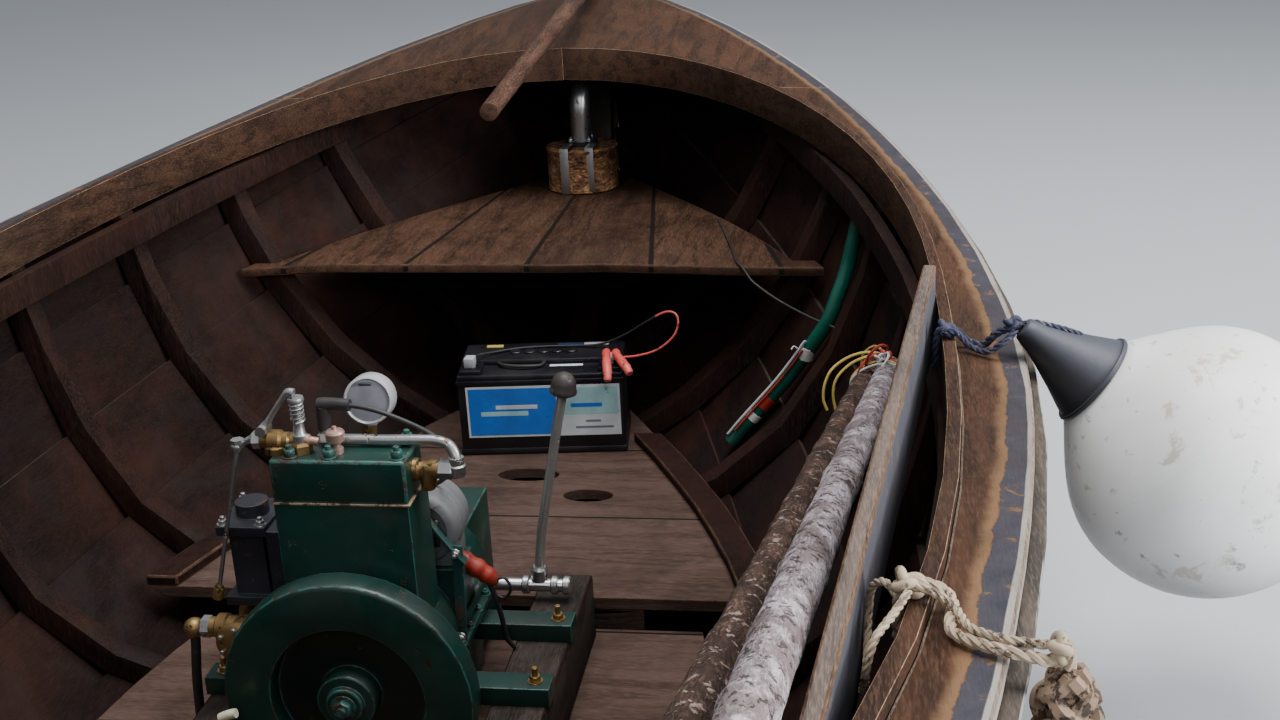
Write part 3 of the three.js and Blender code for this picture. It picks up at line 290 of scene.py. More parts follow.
# %% Helpers for nodes
def feed(tree, value, socket):
    """Link a value to an input if it is a socket; otherwise set the input to it."""
    if isinstance(value, bpy.types.NodeSocket):
        tree.links.new(value, socket)
    else:
        socket.default_value = value


def node(tree, kind, inputs=None, **settings):
    """Add a node, set its properties, and feed its inputs."""
    made = tree.nodes.new(kind)
    for key, value in settings.items():
        setattr(made, key, value)
    for key, value in (inputs or {}).items():
        feed(tree, value, made.inputs[key])
    return made


def math_node(tree, operation, *values):
    """A Math node's result."""
    return node(tree, "ShaderNodeMath", dict(enumerate(values)), operation=operation).outputs[0]


def times(tree, a, b):
    return math_node(tree, "MULTIPLY", a, b)


def plus(tree, a, b):
    return math_node(tree, "ADD", a, b)


def minus(tree, a, b):
    return math_node(tree, "SUBTRACT", a, b)


def divided(tree, a, b):
    return math_node(tree, "DIVIDE", a, b)


def mix(tree, factor, a, b):
    """A Mix Color node's result."""
    return node(tree, "ShaderNodeMix", {0: factor, 6: a, 7: b}, data_type="RGBA", blend_type="MIX",
                clamp_factor=True).outputs[2]


def parts_of(tree, vector):
    """The X, Y and Z of a vector."""
    return node(tree, "ShaderNodeSeparateXYZ", {0: vector}).outputs


def drawn_out(tree, vector, factors):
    """A vector multiplied along each axis, which squeezes a pattern there."""
    return node(tree, "ShaderNodeVectorMath", {0: vector, 1: factors}, operation="MULTIPLY").outputs[0]


def spread(tree, value, low, high, to_low=0.0, to_high=1.0):
    """Map a value's range smoothly onto another, clamped."""
    return node(tree, "ShaderNodeMapRange", {0: value, 1: low, 2: high, 3: to_low, 4: to_high},
                interpolation_type="SMOOTHSTEP").outputs[0]


def noise_node(tree, vector, scale, detail, rough, distortion=0.0):
    """A Noise texture's value."""
    return node(tree, "ShaderNodeTexNoise", {"Vector": vector, "Scale": scale, "Detail": detail,
        "Roughness": rough, "Distortion": distortion}).outputs[0]


def new_group(name, inputs, outputs):
    """An empty node group with named sockets: (name, kind, default)."""
    tree = bpy.data.node_groups.new(name, "ShaderNodeTree")
    for label, kind, default in inputs:
        socket = tree.interface.new_socket(label, in_out="INPUT", socket_type=f"NodeSocket{kind}")
        socket.default_value = default
    for label, kind in outputs:
        tree.interface.new_socket(label, in_out="OUTPUT", socket_type=f"NodeSocket{kind}")
    return tree, tree.nodes.new("NodeGroupInput").outputs, tree.nodes.new("NodeGroupOutput").inputs


# %% [markdown]
# Timber first. Grain is noise pulled out along the plank: the Stretch vector holds the plank still in its
# own direction and squeezes the pattern across it. A broad noise gives the bands of early and late wood, a
# fine one the fibres, a third the grey patches where sun and water have taken the oil out, and a last one
# the dirt.

# %% Node group: timber
timber_tree, given, result = new_group("Timber", [("Vector", "Vector", (0, 0, 0)),
    ("Stretch", "Vector", (1, 9, 9)), ("Dark", "Color", (.02, .015, .01, 1)),
    ("Base", "Color", (.1, .07, .05, 1)), ("Light", "Color", (.2, .16, .12, 1)), ("Grain", "Float", 5.0),
    ("Fibre", "Float", .5), ("Bleach", "Float", .3), ("Grime", "Float", .4)], [("Color", "Color"),
    ("Roughness", "Float"), ("Height", "Float")])
tree = timber_tree
pulled = drawn_out(tree, given["Vector"], given["Stretch"])
bands = noise_node(tree, pulled, given["Grain"], 6, .62, .7)
fibres = noise_node(tree, pulled, times(tree, given["Grain"], 11.0), 3, .6)
patches = noise_node(tree, given["Vector"], 2.6, 5, .6, .3)
dirt = noise_node(tree, given["Vector"], 5.3, 7, .68, .6)
streaks = noise_node(tree, pulled, times(tree, given["Grain"], .35), 4, .55)
wood = mix(tree, spread(tree, bands, .33, .62), given["Dark"], given["Base"])
light_share = times(tree, spread(tree, fibres, .42, .72), given["Fibre"])
wood = mix(tree, light_share, wood, given["Light"])
wood = mix(tree, times(tree, spread(tree, streaks, .52, .72), .55), wood, given["Dark"])
grey = mix(tree, .55, given["Light"], (.100, .076, .060, 1))
bleached = times(tree, spread(tree, patches, .47, .68), given["Bleach"])
wood = mix(tree, bleached, wood, grey)
dirty = times(tree, spread(tree, dirt, .44, .70), given["Grime"])
wood = mix(tree, dirty, wood, mix(tree, .7, given["Dark"], (.012, .010, .010, 1)))
tree.links.new(wood, result["Color"])
rubbed = plus(tree, dirty, times(tree, fibres, .4))
tree.links.new(spread(tree, rubbed, .1, .9, .78, .50), result["Roughness"])
tree.links.new(plus(tree, times(tree, bands, .55), times(tree, fibres, .45)), result["Height"])

# %% [markdown]
# A sole or a shelf is laid of boards. This group cuts a coordinate into strips: it gives each strip a
# number of its own for tint, moves the grain by that number so that no two boards match, and marks the seam
# between them.

# %% Node group: boards
boards_tree, given, result = new_group("Boards", [("Vector", "Vector", (0, 0, 0)), ("Across", "Float", 0),
    ("Width", "Float", .15), ("Seam", "Float", .003)], [("Vector", "Vector"), ("Tint", "Float"),
    ("Seam", "Float")])
tree = boards_tree
place = divided(tree, given["Across"], given["Width"])
number = math_node(tree, "FLOOR", place)
tint = node(tree, "ShaderNodeTexWhiteNoise", {"W": number}, noise_dimensions="1D").outputs[0]
edge = math_node(tree, "PINGPONG", place, .5)
seam_width = divided(tree, given["Seam"], given["Width"])
seam = spread(tree, edge, times(tree, seam_width, .4), seam_width, 1, 0)
moved = node(tree, "ShaderNodeCombineXYZ", {0: times(tree, number, 3.7),
                                            1: times(tree, number, 1.9), 2: number}).outputs[0]
tree.links.new(node(tree, "ShaderNodeVectorMath", {0: given["Vector"], 1: moved}, operation="ADD").outputs[0],
               result["Vector"])
tree.links.new(tint, result["Tint"])
tree.links.new(seam, result["Seam"])

# %% [markdown]
# Dirt, rust and chips are all blotches: a noise cut at a level, with a finer noise that frays its border. The
# same group serves them, and each finish says how large, how much and how sharp.

# %% Node group: blotches
blotch_tree, given, result = new_group("Blotches", [("Vector", "Vector", (0, 0, 0)), ("Scale", "Float", 8),
    ("Amount", "Float", .4), ("Softness", "Float", .06)], [("Mask", "Float"), ("Cloud", "Float")])
tree = blotch_tree
cloud = noise_node(tree, given["Vector"], given["Scale"], 7, .66, .4)
level = minus(tree, .74, times(tree, given["Amount"], .5))
tree.links.new(spread(tree, cloud, minus(tree, level, given["Softness"]),
                      plus(tree, level, given["Softness"])), result["Mask"])
tree.links.new(cloud, result["Cloud"])


# %% Helpers for materials
def new_material(name):
    """A material with its tree and the Object coordinates."""
    made = bpy.data.materials.new(name)
    made.use_nodes = True
    tree = made.node_tree
    return made, tree, node(tree, "ShaderNodeTexCoord").outputs["Object"]


def finished(made, colour, roughness, height, relief, specular=.5, metallic=0.0):
    """Feed a material's shader; a height and the depth of its relief make the bump."""
    tree = made.node_tree
    shader = tree.nodes["Principled BSDF"]
    raised = node(tree, "ShaderNodeBump", {"Height": height, "Distance": relief, "Strength": 1.0})
    for key, value in (("Base Color", colour), ("Roughness", roughness), ("Specular IOR Level", specular),
                       ("Metallic", metallic), ("Normal", raised.outputs["Normal"])):
        feed(tree, value, shader.inputs[key])
    return made


def blotches(tree, where, scale, amount, softness):
    """The mask and the cloud of the Blotches group."""
    return node(tree, "ShaderNodeGroup", {"Vector": where, "Scale": scale, "Amount": amount,
        "Softness": softness}, node_tree=blotch_tree).outputs


def timber(tree, where, stretch, dark, base, light, grain=5.0, fibre=.5, bleach=.3, grime=.4):
    """The outputs of the Timber group."""
    return node(tree, "ShaderNodeGroup", {
        "Vector": where, "Stretch": stretch, "Dark": (*dark, 1), "Base": (*base, 1), "Light": (*light, 1),
        "Grain": grain, "Fibre": fibre, "Bleach": bleach, "Grime": grime}, node_tree=timber_tree).outputs


FORE_AFT = (1, 9, 9)
ATHWART = (9, 1, 9)
UPRIGHT = (9, 9, 1)
REDDISH = (.050, .016, .010, 1)
DULL = .12
WOOD_RELIEF, BOARD_RELIEF = .0012, .0016
FAN_CENTRE_X = -2.4


def plain_timber(name, stretch, dark, base, light, red=0.0, **how):
    """A one-piece timber finish."""
    made, tree, where = new_material(name)
    wood = timber(tree, where, stretch, dark, base, light, **how)
    colour = wood["Color"]
    if red:
        colour = mix(tree, times(tree, blotches(tree, where, 3.1, .35, .16)["Mask"], red), colour, REDDISH)
    return finished(made, colour, wood["Roughness"], wood["Height"], WOOD_RELIEF, DULL)


def boarded_timber(name, stretch, axis, width, dark, base, light, seam, spread_by=0.0, **how):
    """Boards side by side along one axis, with seams; spread_by fans them out from the stern."""
    made, tree, where = new_material(name)
    parts = parts_of(tree, where)
    across = parts[axis]
    if spread_by:
        fan = plus(tree, times(tree, parts[0], spread_by), 1.0 - FAN_CENTRE_X * spread_by)
        across = divided(tree, across, fan)
    boards = node(tree, "ShaderNodeGroup", {"Vector": where, "Across": across, "Width": width, "Seam": seam},
                  node_tree=boards_tree).outputs
    wood = timber(tree, boards["Vector"], stretch, dark, base, light, **how)
    tinted = mix(tree, spread(tree, boards["Tint"], 0, 1, 0, .45), wood["Color"], (*dark, 1))
    colour = mix(tree, boards["Seam"], tinted, (.010, .008, .007, 1))
    height = minus(tree, times(tree, wood["Height"], .6), boards["Seam"])
    return finished(made, colour, wood["Roughness"], height, BOARD_RELIEF, DULL)


# %% [markdown]
# The ready solids are exact but sharp, and no worn plank has a knife edge. So each one is dressed: a copy
# of it is made, its loose triangles are merged, flat faces are cleaned, and a narrow bevel rounds the
# edges. The bevel's own faces get a second finish, the paler wood or bare metal that wear leaves on a
# corner.

# %% Helpers for pieces
MERGE_DISTANCE = .00002
FLAT_ANGLE = math.radians(.6)


def softened(piece, width, segments=2, corner=35, smooth=40, edge_slot=-1):
    """Round the sharp edges of a piece, and shade it smooth up to an angle."""
    select_only(piece)
    if width:
        soften = piece.modifiers.new("soften", "BEVEL")
        soften.width = width
        soften.segments = segments
        soften.limit_method = "ANGLE"
        soften.angle_limit = math.radians(corner)
        soften.material = edge_slot
        bpy.ops.object.modifier_apply(modifier=soften.name)
    bpy.ops.object.shade_smooth_by_angle(angle=math.radians(smooth))
    return piece


def belongs(piece, body="root", stands_for=()):
    """Give a piece its body, and the solids it stands for."""
    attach(piece, body)
    if stands_for:
        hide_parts(*stands_for)
    return piece


def body_of_node(name):
    return next(body for body, names in frame["record"]["behaviour"]["bodies"].items() if name in names)


def dressed(name, finish, edge=None, *, width, segments=2, corner=34, smooth=32):
    """A softened copy of one solid that stands for it."""
    select_only(nodes[name])
    bpy.ops.object.duplicate()
    piece = bpy.context.object
    piece.name = piece.data.name = f"{name}_finish"
    piece.parent = None
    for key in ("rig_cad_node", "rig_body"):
        if key in piece:
            del piece[key]
    piece.data.materials.clear()
    for material in (finish, edge) if edge else (finish,):
        piece.data.materials.append(material)
    bpy.ops.object.mode_set(mode="EDIT")
    bpy.ops.mesh.select_all(action="SELECT")
    bpy.ops.mesh.remove_doubles(threshold=MERGE_DISTANCE)
    bpy.ops.mesh.dissolve_limited(angle_limit=FLAT_ANGLE)
    bpy.ops.object.mode_set(mode="OBJECT")
    softened(piece, width, segments, corner, smooth, 1 if edge else -1)
    return belongs(piece, body_of_node(name), [name])


# %% [markdown]
# Old oiled pine, inside the hull: nearly black in the corners, brown where it has been rubbed, with a
# reddish bloom of old primer here and there. Outside it has been tarred above the water and painted dark
# below it, with a grey-green line of scum where the water ends.

# %% Finishes of the hull
INSIDE = dict(dark=(.0030, .0013, .0010), base=(.0088, .0036, .0026), light=(.030, .0150, .0105))
FRAME_WOOD = dict(dark=(.0036, .0017, .0013), base=(.0130, .0058, .0042), light=(.052, .029, .021))

planking_inside = plain_timber("planking_inside", FORE_AFT, **INSIDE, grain=5, fibre=.45, bleach=.03,
    grime=.75, red=.45)
frame_wood = plain_timber("frame_wood", UPRIGHT, **FRAME_WOOD, grain=5, fibre=.5, bleach=.05, grime=.6,
    red=.40)
beam_wood = plain_timber("beam_wood", ATHWART, **FRAME_WOOD, grain=5, fibre=.5, bleach=.12, grime=.6)
worn_wood = plain_timber("worn_wood", FORE_AFT, dark=(.022, .0105, .0070), base=(.070, .036, .024),
    light=(.185, .108, .075), grain=6, fibre=.6, bleach=.20, grime=.55, red=.30)


def tarred_outside():
    """Tar above the water, dark bottom paint below, scum between."""
    made, tree, where = new_material("tarred_outside")
    wood = timber(tree, where, FORE_AFT, (.012, .009, .007), (.040, .028, .020), (.095, .070, .050), 4.5,
        .45, .30, .5)
    wavy = noise_node(tree, where, 9, 5, .6)
    level = plus(tree, parts_of(tree, where)["Z"], times(tree, minus(tree, wavy, .5), .05))
    cracked = blotches(tree, where, 22, .42, .03)
    bottom = mix(tree, cracked["Cloud"], (.028, .010, .008, 1), (.075, .026, .018, 1))
    bottom = mix(tree, times(tree, cracked["Mask"], .8), bottom, (.030, .026, .020, 1))
    colour = mix(tree, spread(tree, level, .020, .012, 0, 1), wood["Color"], bottom)
    from_scum = math_node(tree, "ABSOLUTE", minus(tree, level, .006))
    colour = mix(tree, times(tree, spread(tree, from_scum, .010, .042, 1, 0), .72), colour,
        (.075, .078, .050, 1))
    return finished(made, colour, spread(tree, wood["Height"], .2, .8, .42, .66),
                    plus(tree, wood["Height"], times(tree, cracked["Mask"], .3)), WOOD_RELIEF)


tarred = tarred_outside()

# %% [markdown]
# A clinker hull shows its strakes on both sides, so the planking is one wall with two finishes. A face that
# looks towards the middle of the boat is an inside face; all others are outside or a plank's own edge.

# %% Planking, frames and backbone
HULL_AXIS_Z = .45
NEAR_PLANK_EDGE = .35
THIRD_FINISH = 2


def is_inside(face):
    """Whether a face of the planking looks into the boat."""
    inwards = Vector((0, -face.center.y, HULL_AXIS_Z - face.center.z)).normalized()
    return face.normal.dot(inwards) > NEAR_PLANK_EDGE


for name in ("lower_planking_port", "lower_planking_starboard",
             "upper_planking_port", "upper_planking_starboard"):
    hull = dressed(name, planking_inside, worn_wood, width=.0022, corner=40, smooth=24)
    hull.data.materials.append(tarred)
    for face in hull.data.polygons:
        if face.material_index == 0 and not is_inside(face):
            face.material_index = THIRD_FINISH
    print(hull.name, len(hull.data.polygons), "faces")

for name in ("keel", "stem", "sternpost"):
    dressed(name, tarred, worn_wood if name != "keel" else tarred, width=.003, corner=36, smooth=28)
for name in ("frames_port", "frames_starboard"):
    dressed(name, frame_wood, worn_wood, width=.0032, corner=40, smooth=28)
for name in ("floor_timbers", "foredeck_beams", "aft_deck_beams"):
    dressed(name, beam_wood, worn_wood, width=.003, corner=40, smooth=28)

# %% [markdown]
# The decks carry the boat's clearest mark of age: brown oiled planks, a strip along the edge still wearing
# dark blue-grey paint with a torn inner border of bare tan wood, and a thin pale line at the very edge. The
# pattern follows the deck's outline, so each vertex stores its distance from the edge and the finish reads
# that.

# %% Distance from the deck's edge
STATIONS_NEAR, STEEPEST_EDGE = 4, .9
DECK_NODES = ["foredeck", "aft_deck", "side_deck_port", "side_deck_starboard"]
edge_points = {}
for name in DECK_NODES:
    for vertex in nodes[name].data.vertices:
        station = round(vertex.co.x, 3)
        edge_points[station] = max(edge_points.get(station, 0), abs(vertex.co.y))
stations = sorted(edge_points)
outer_line = [(x, edge_points[x]) for i, x in enumerate(stations)
              if all(edge_points[x] >= edge_points[other] - abs(other - x) * STEEPEST_EDGE
                     for other in stations[max(0, i - STATIONS_NEAR):i + STATIONS_NEAR + 1])]


def deck_half(x):
    """Half the deck's breadth at a place along the boat."""
    for (x0, y0), (x1, y1) in zip(outer_line, outer_line[1:]):
        if x0 <= x <= x1:
            return y0 + (y1 - y0) * (x - x0) / max(x1 - x0, 1e-6)
    return outer_line[0][1] if x < outer_line[0][0] else outer_line[-1][1]


def store_edge_distance(piece):
    """Write how far each vertex lies inside the deck's edge."""
    values = piece.data.attributes.new("edge_distance", "FLOAT", "POINT")
    for vertex in piece.data.vertices:
        values.data[vertex.index].value = deck_half(vertex.co.x) - abs(vertex.co.y)


print("deck edge known at", len(outer_line), "places; widest", round(max(y for _, y in outer_line), 3), "m")

# %% Finish of the decks
def deck_finish():
    """Oiled wood, bare wood near the edge, torn paint along it, and a thin pale line at the very edge."""
    made, tree, where = new_material("deck_finish")
    wood = timber(tree, where, (1.2, 8, 8), (.018, .0078, .0042), (.058, .0260, .0140), (.125, .068, .040),
        4.2, .40, .10, .40)
    inset = node(tree, "ShaderNodeAttribute", attribute_name="edge_distance").outputs["Fac"]
    torn = noise_node(tree, where, 17, 6, .70, .5)
    broad = noise_node(tree, where, 3.2, 3, .5)
    ragged = plus(tree, times(tree, minus(tree, torn, .5), .018), times(tree, minus(tree, broad, .5), .020))
    place = plus(tree, inset, ragged)
    tan_strip = times(tree, spread(tree, place, .034, .048, 1, 0), .80)
    colour = mix(tree, tan_strip, wood["Color"], (.190, .108, .056, 1))
    flakes = blotches(tree, where, 30, .26, .02)
    unflaked = minus(tree, 1, times(tree, flakes["Mask"], .8))
    paint = times(tree, spread(tree, place, .0320, .0295, 0, 1), unflaked)
    painted = mix(tree, flakes["Cloud"], (.018, .018, .026, 1), (.070, .066, .080, 1))
    colour = mix(tree, paint, colour, painted)
    line = spread(tree, plus(tree, inset, times(tree, ragged, .12)), .0085, .0070, 0, 1)
    colour = mix(tree, times(tree, line, .85), colour, (.34, .315, .285, 1))
    smear = blotches(tree, where, 2.3, .34, .13)["Mask"]
    colour = mix(tree, times(tree, smear, .55), colour, (.032, .018, .012, 1))
    return finished(made, colour, spread(tree, wood["Height"], .1, .9, .50, .72),
                    plus(tree, wood["Height"], times(tree, paint, .45)), WOOD_RELIEF, DULL)


deck_wood = deck_finish()
deck_edge = plain_timber("deck_edge", FORE_AFT, (.085, .06, .045), (.20, .15, .115), (.36, .30, .25),
    grain=6, fibre=.6, bleach=.45, grime=.45)
for name in DECK_NODES:
    deck = dressed(name, deck_wood, deck_edge, width=.003, corner=40, smooth=24)
    store_edge_distance(deck)
    print(deck.name, len(deck.data.polygons), "faces")

coaming_wood = plain_timber("coaming_wood", FORE_AFT, (.013, .0062, .0042), (.046, .022, .0130),
    (.120, .068, .042), grain=5, fibre=.5, bleach=.14, grime=.5)
coaming_edge = plain_timber("coaming_edge", FORE_AFT, (.10, .058, .034), (.25, .155, .098), (.43, .31, .21),
    grain=7, fibre=.7, bleach=.40, grime=.35)
for name in ("coaming_port", "coaming_starboard"):
    dressed(name, coaming_wood, coaming_edge, width=.0045, segments=3, corner=44, smooth=30)


def rail_finish():
    """Dark tarred rail with what is left of white paint on its outer face."""
    made, tree, where = new_material("rail_finish")
    wood = timber(tree, where, FORE_AFT, (.016, .012, .009), (.060, .043, .031), (.14, .11, .085), 5, .5, .3,
        .4)
    flakes = blotches(tree, drawn_out(tree, where, (1, 3, 7)), 5.5, .50, .05)
    outward = parts_of(tree, node(tree, "ShaderNodeNewGeometry").outputs["Normal"])["Y"]
    side = spread(tree, math_node(tree, "ABSOLUTE", outward), .45, .75)
    white = times(tree, side, minus(tree, 1, flakes["Mask"]))
    colour = mix(tree, white, wood["Color"], mix(tree, flakes["Cloud"], (.15, .145, .135, 1),
        (.34, .33, .31, 1)))
    return finished(made, colour, wood["Roughness"], plus(tree, wood["Height"], white), .0010)


rail_paint = rail_finish()
for name in ("rub_rail_port", "rub_rail_starboard"):
    dressed(name, rail_paint, width=.004, segments=3, corner=40, smooth=28)

# %% [markdown]
# The soles are boards laid across the boat. Wear has taken their edges down to pale, pinkish wood; between
# them runs a dark seam. The stern shelf is made the other way: its boards run fore and aft and narrow to
# the stern.

# %% Soles, riser, battens and shelf
SOLE_BOARD = .32
SOLE_WOOD = dict(dark=(.050, .029, .022), base=(.094, .058, .046), light=(.160, .108, .090))
sole_boards = boarded_timber("sole_boards", ATHWART, 0, SOLE_BOARD, **SOLE_WOOD, seam=.0035, grain=4.5,
    fibre=.45, bleach=.16, grime=.45)
riser_wood = plain_timber("riser_wood", ATHWART, (.014, .010, .008), (.050, .036, .028), (.12, .09, .07),
    grime=.7)
shelf_boards = boarded_timber("shelf_boards", (1, 8, 8), 1, .155, dark=(.022, .0100, .0062),
    base=(.070, .034, .020), light=(.150, .084, .053), seam=.0045, spread_by=.75, grain=4, fibre=.5,
    bleach=.15, grime=.62)
for name in ("aft_sole", "fore_sole"):
    dressed(name, sole_boards, worn_wood, width=.003, corner=40, smooth=20)
dressed("sole_riser", riser_wood, worn_wood, width=.003, corner=40, smooth=20)
for name in ("margin_batten_port", "margin_batten_starboard"):
    dressed(name, frame_wood, worn_wood, width=.004, corner=40, smooth=24)
dressed("stern_shelf", shelf_boards, worn_wood, width=.004, segments=3, corner=40, smooth=24)
bearer_wood = plain_timber("bearer_wood", FORE_AFT, (.012, .009, .008), (.038, .029, .025), (.10, .08, .07),
    grime=.85)
for name in ("engine_bearer_port", "engine_bearer_starboard"):
    dressed(name, bearer_wood, frame_wood, width=.004, corner=40)

# %% [markdown]
# The solids leave the small things out: nuts, studs, pipes, labels, knots and ropes. They are modelled here
# by a few moves that come back all the time. A block or a bar starts as a primitive and loses its sharp
# edges, and a turned part is a profile spun round an axis, as on a lathe. From here on small places are
# given in millimetres.

# %% Helpers for blocks, bars and turned parts
UP = (0, 0, 1)
TO_PORT, TO_STARBOARD = (0, 1, 0), (0, -1, 0)
FORWARD = (1, 0, 0)
ORIGIN = (0, 0, 0)


def at(x, y, z):
    """A place on the boat given in millimetres."""
    return Vector((x, y, z)) / 1000


def direction_to(towards):
    return Vector(towards).to_track_quat("Z", "Y")


def settled(piece, name, finish):
    """Name a piece, put its place into its mesh, and give it its finish."""
    piece.name = piece.data.name = name
    select_only(piece)
    bpy.ops.object.transform_apply(location=True, rotation=True, scale=True)
    piece.data.materials.clear()
    piece.data.materials.append(finish)
    return piece


def block(name, low, high, finish, width, segments=2):
    """A squared block between two corners, its edges rounded."""
    low, high = Vector(low), Vector(high)
    bpy.ops.object.select_all(action="DESELECT")
    bpy.ops.mesh.primitive_cube_add(size=1, location=(low + high) / 2, scale=high - low)
    return softened(settled(bpy.context.object, name, finish), width, segments)


def bar(name, start, end, radius, finish, sides):
    """A round bar from one place to another."""
    bpy.ops.object.select_all(action="DESELECT")
    bpy.ops.mesh.primitive_cone_add(vertices=sides, radius1=radius, radius2=radius,
        depth=(end - start).length, location=(start + end) / 2, rotation=direction_to(end - start).to_euler())
    return softened(settled(bpy.context.object, name, finish), 0)


def turned(name, profile, foot, towards, finish, sides, smooth=35):
    """A part turned on a lathe: a profile of (radius, height) in mm, spun round an axis from its foot.

    The open ends of a profile are drawn in to the axis, unless it is a ring."""
    low, high = profile[0], profile[-1]
    if low != high:
        profile = [(0, low[1])] * bool(low[0]) + profile + [(0, high[1])] * bool(high[0])
    data = bpy.data.meshes.new(name)
    data.from_pydata([at(r, 0, h) for r, h in profile], [(i, i + 1) for i in range(len(profile) - 1)], [])
    piece = linked(name, data)
    bpy.ops.object.mode_set(mode="EDIT")
    bpy.ops.mesh.select_all(action="SELECT")
    bpy.ops.mesh.spin(steps=sides, angle=math.tau, center=ORIGIN, axis=UP)
    bpy.ops.mesh.select_all(action="SELECT")
    bpy.ops.mesh.remove_doubles(threshold=MERGE_DISTANCE)
    bpy.ops.object.mode_set(mode="OBJECT")
    facing_out(piece)
    piece.rotation_euler = direction_to(towards).to_euler()
    piece.location = foot
    return softened(settled(piece, name, finish), 0, smooth=smooth)


def ball(name, centre, radius, finish):
    bpy.ops.object.select_all(action="DESELECT")
    bpy.ops.mesh.primitive_uv_sphere_add(segments=24, ring_count=14, radius=radius, location=centre)
    return softened(settled(bpy.context.object, name, finish), 0, smooth=60)


# %% [markdown]
# What repeats is made once and copied into one mesh, and small parts that sit together are joined into one
# piece. One nut serves all the studs.

# %% Helpers for copies and nuts
WASHER_SHARE = .18


def joined(name, *pieces):
    """Several pieces made one."""
    select_only(*pieces)
    bpy.ops.object.join()
    piece = bpy.context.object
    piece.name = piece.data.name = name
    return piece


def assembly(name, pieces, stands_for=()):
    """Pieces joined into one, put in the root body, with the solids it stands for."""
    return belongs(joined(name, *pieces), stands_for=stands_for)


def copies(name, model, places):
    """One mesh with a copy of a model at each (place, direction); the model itself goes."""
    gathered = bmesh.new()
    for place, towards in places:
        part = model.data.copy()
        part.transform(Matrix.Translation(place) @ direction_to(towards).to_matrix().to_4x4())
        gathered.from_mesh(part)
        bpy.data.meshes.remove(part)
    data = bpy.data.meshes.new(name)
    gathered.to_mesh(data)
    gathered.free()
    for finish in model.data.materials:
        data.materials.append(finish)
    bpy.data.objects.remove(model)
    return linked(name, data)


def nut(name, size, high, finish, stud):
    """A six-sided nut on a washer, upright at the origin, with the end of its stud; all in millimetres."""
    thick = size * WASHER_SHARE
    washer = turned(f"{name}_washer", [(size * 1.25, 0), (size * 1.3, size * .08), (size * 1.25, thick)],
        ORIGIN, UP, finish, 16)
    bpy.ops.object.select_all(action="DESELECT")
    bpy.ops.mesh.primitive_cylinder_add(vertices=6, radius=size / 1000, depth=high / 1000,
        location=at(0, 0, thick + high / 2))
    head = softened(settled(bpy.context.object, f"{name}_head", finish), size * .12 / 1000, 1, corner=50)
    end = turned(f"{name}_stud", [(size * .5, 0), (size * .5, high + stud - size * .1),
        (size * .4, high + stud)], at(0, 0, thick), UP, finish, 12)
    return joined(name, washer, head, end)


# %% [markdown]
# A rope is three strands wound round one line. For that the line needs nearly even steps, and at each step
# two directions square to it that do not twist. Straps are flat strips, and a knot is a short loop through
# itself.

# %% Helpers for ropes, straps and knots
ROPE_STRANDS, ROPE_PITCH, STEPS_A_TURN = 3, 6.5, 10
STRAND_OUT, STRAND_THICK = .48, .56
FINE_STEPS, KNOT_STEPS, STRAP_BEVEL = 24, 48, .0006


def even_line(places, step):
    """A smooth line through the places with nearly even steps."""
    fine = smooth_line(places, FINE_STEPS)
    line, left = [fine[0]], step
    for a, b in zip(fine, fine[1:]):
        span = (b - a).length
        while span and left <= span:
            a = a + (b - a) * (left / span)
            span -= left
            line.append(a)
            left = step
        left -= span
    if (fine[-1] - line[-1]).length > step * .3:
        line.append(fine[-1])
    return line


def sides_along(line):
    """Two square side directions at each point of a line, without twist."""
    ahead = [(b - a).normalized() for a, b in zip(line, line[1:])]
    ahead.append(ahead[-1])
    side = ahead[0].orthogonal().normalized()
    result = []
    for direction in ahead:
        side = (side - direction * side.dot(direction)).normalized()
        result.append((side, direction.cross(side)))
    return result


def laid_rope(name, places, radius, finish):
    """A rope of strands wound round a line."""
    line = even_line(places, radius * ROPE_PITCH / STEPS_A_TURN)
    sides = sides_along(line)
    parts = []
    for k in range(ROPE_STRANDS):
        wound = []
        for i, (place, (side, other)) in enumerate(zip(line, sides)):
            angle = math.tau * (i / STEPS_A_TURN + k / ROPE_STRANDS)
            wound.append(place + (side * math.cos(angle) + other * math.sin(angle)) * radius * STRAND_OUT)
        parts.append(sweep(f"{name}_strand", wound, radius * STRAND_THICK, 1, finish=finish))
    return joined(name, *parts)


def strip(name, places, across, wide, thick, finish):
    """A flat strip bent along a line; across is the direction of its width."""
    points = []
    for i, place in enumerate(places):
        ahead = (places[min(i + 1, len(places) - 1)] - places[max(i - 1, 0)]).normalized()
        side = (Vector(across) - ahead * ahead.dot(Vector(across))).normalized()
        up = ahead.cross(side)
        points += [place + side * a * wide / 2 + up * b * thick / 2
                   for a, b in ((-1, -1), (1, -1), (1, 1), (-1, 1))]
    faces = [(0, 1, 2, 3), tuple(len(points) - 4 + k for k in (3, 2, 1, 0))]
    for i in range(0, len(points) - 4, 4):
        faces += [(i + k, i + 4 + k, i + 4 + (k + 1) % 4, i + (k + 1) % 4) for k in range(4)]
    data = bpy.data.meshes.new(name)
    data.from_pydata(points, [], faces)
    return softened(settled(facing_out(linked(name, data)), name, finish), STRAP_BEVEL)


def knot(name, place, size, radius, finish, towards):
    """A knot: one rope that winds through itself three times."""
    turn = direction_to(towards)
    line = []
    for a in (math.tau * i / KNOT_STEPS for i in range(KNOT_STEPS)):
        shift = Vector((math.sin(a) + 2 * math.sin(2 * a), math.cos(a) - 2 * math.cos(2 * a),
            -1.3 * math.sin(3 * a)))
        line.append(Vector(place) + turn @ shift * size / 3)
    return sweep(name, line, radius, closed=True, finish=finish)


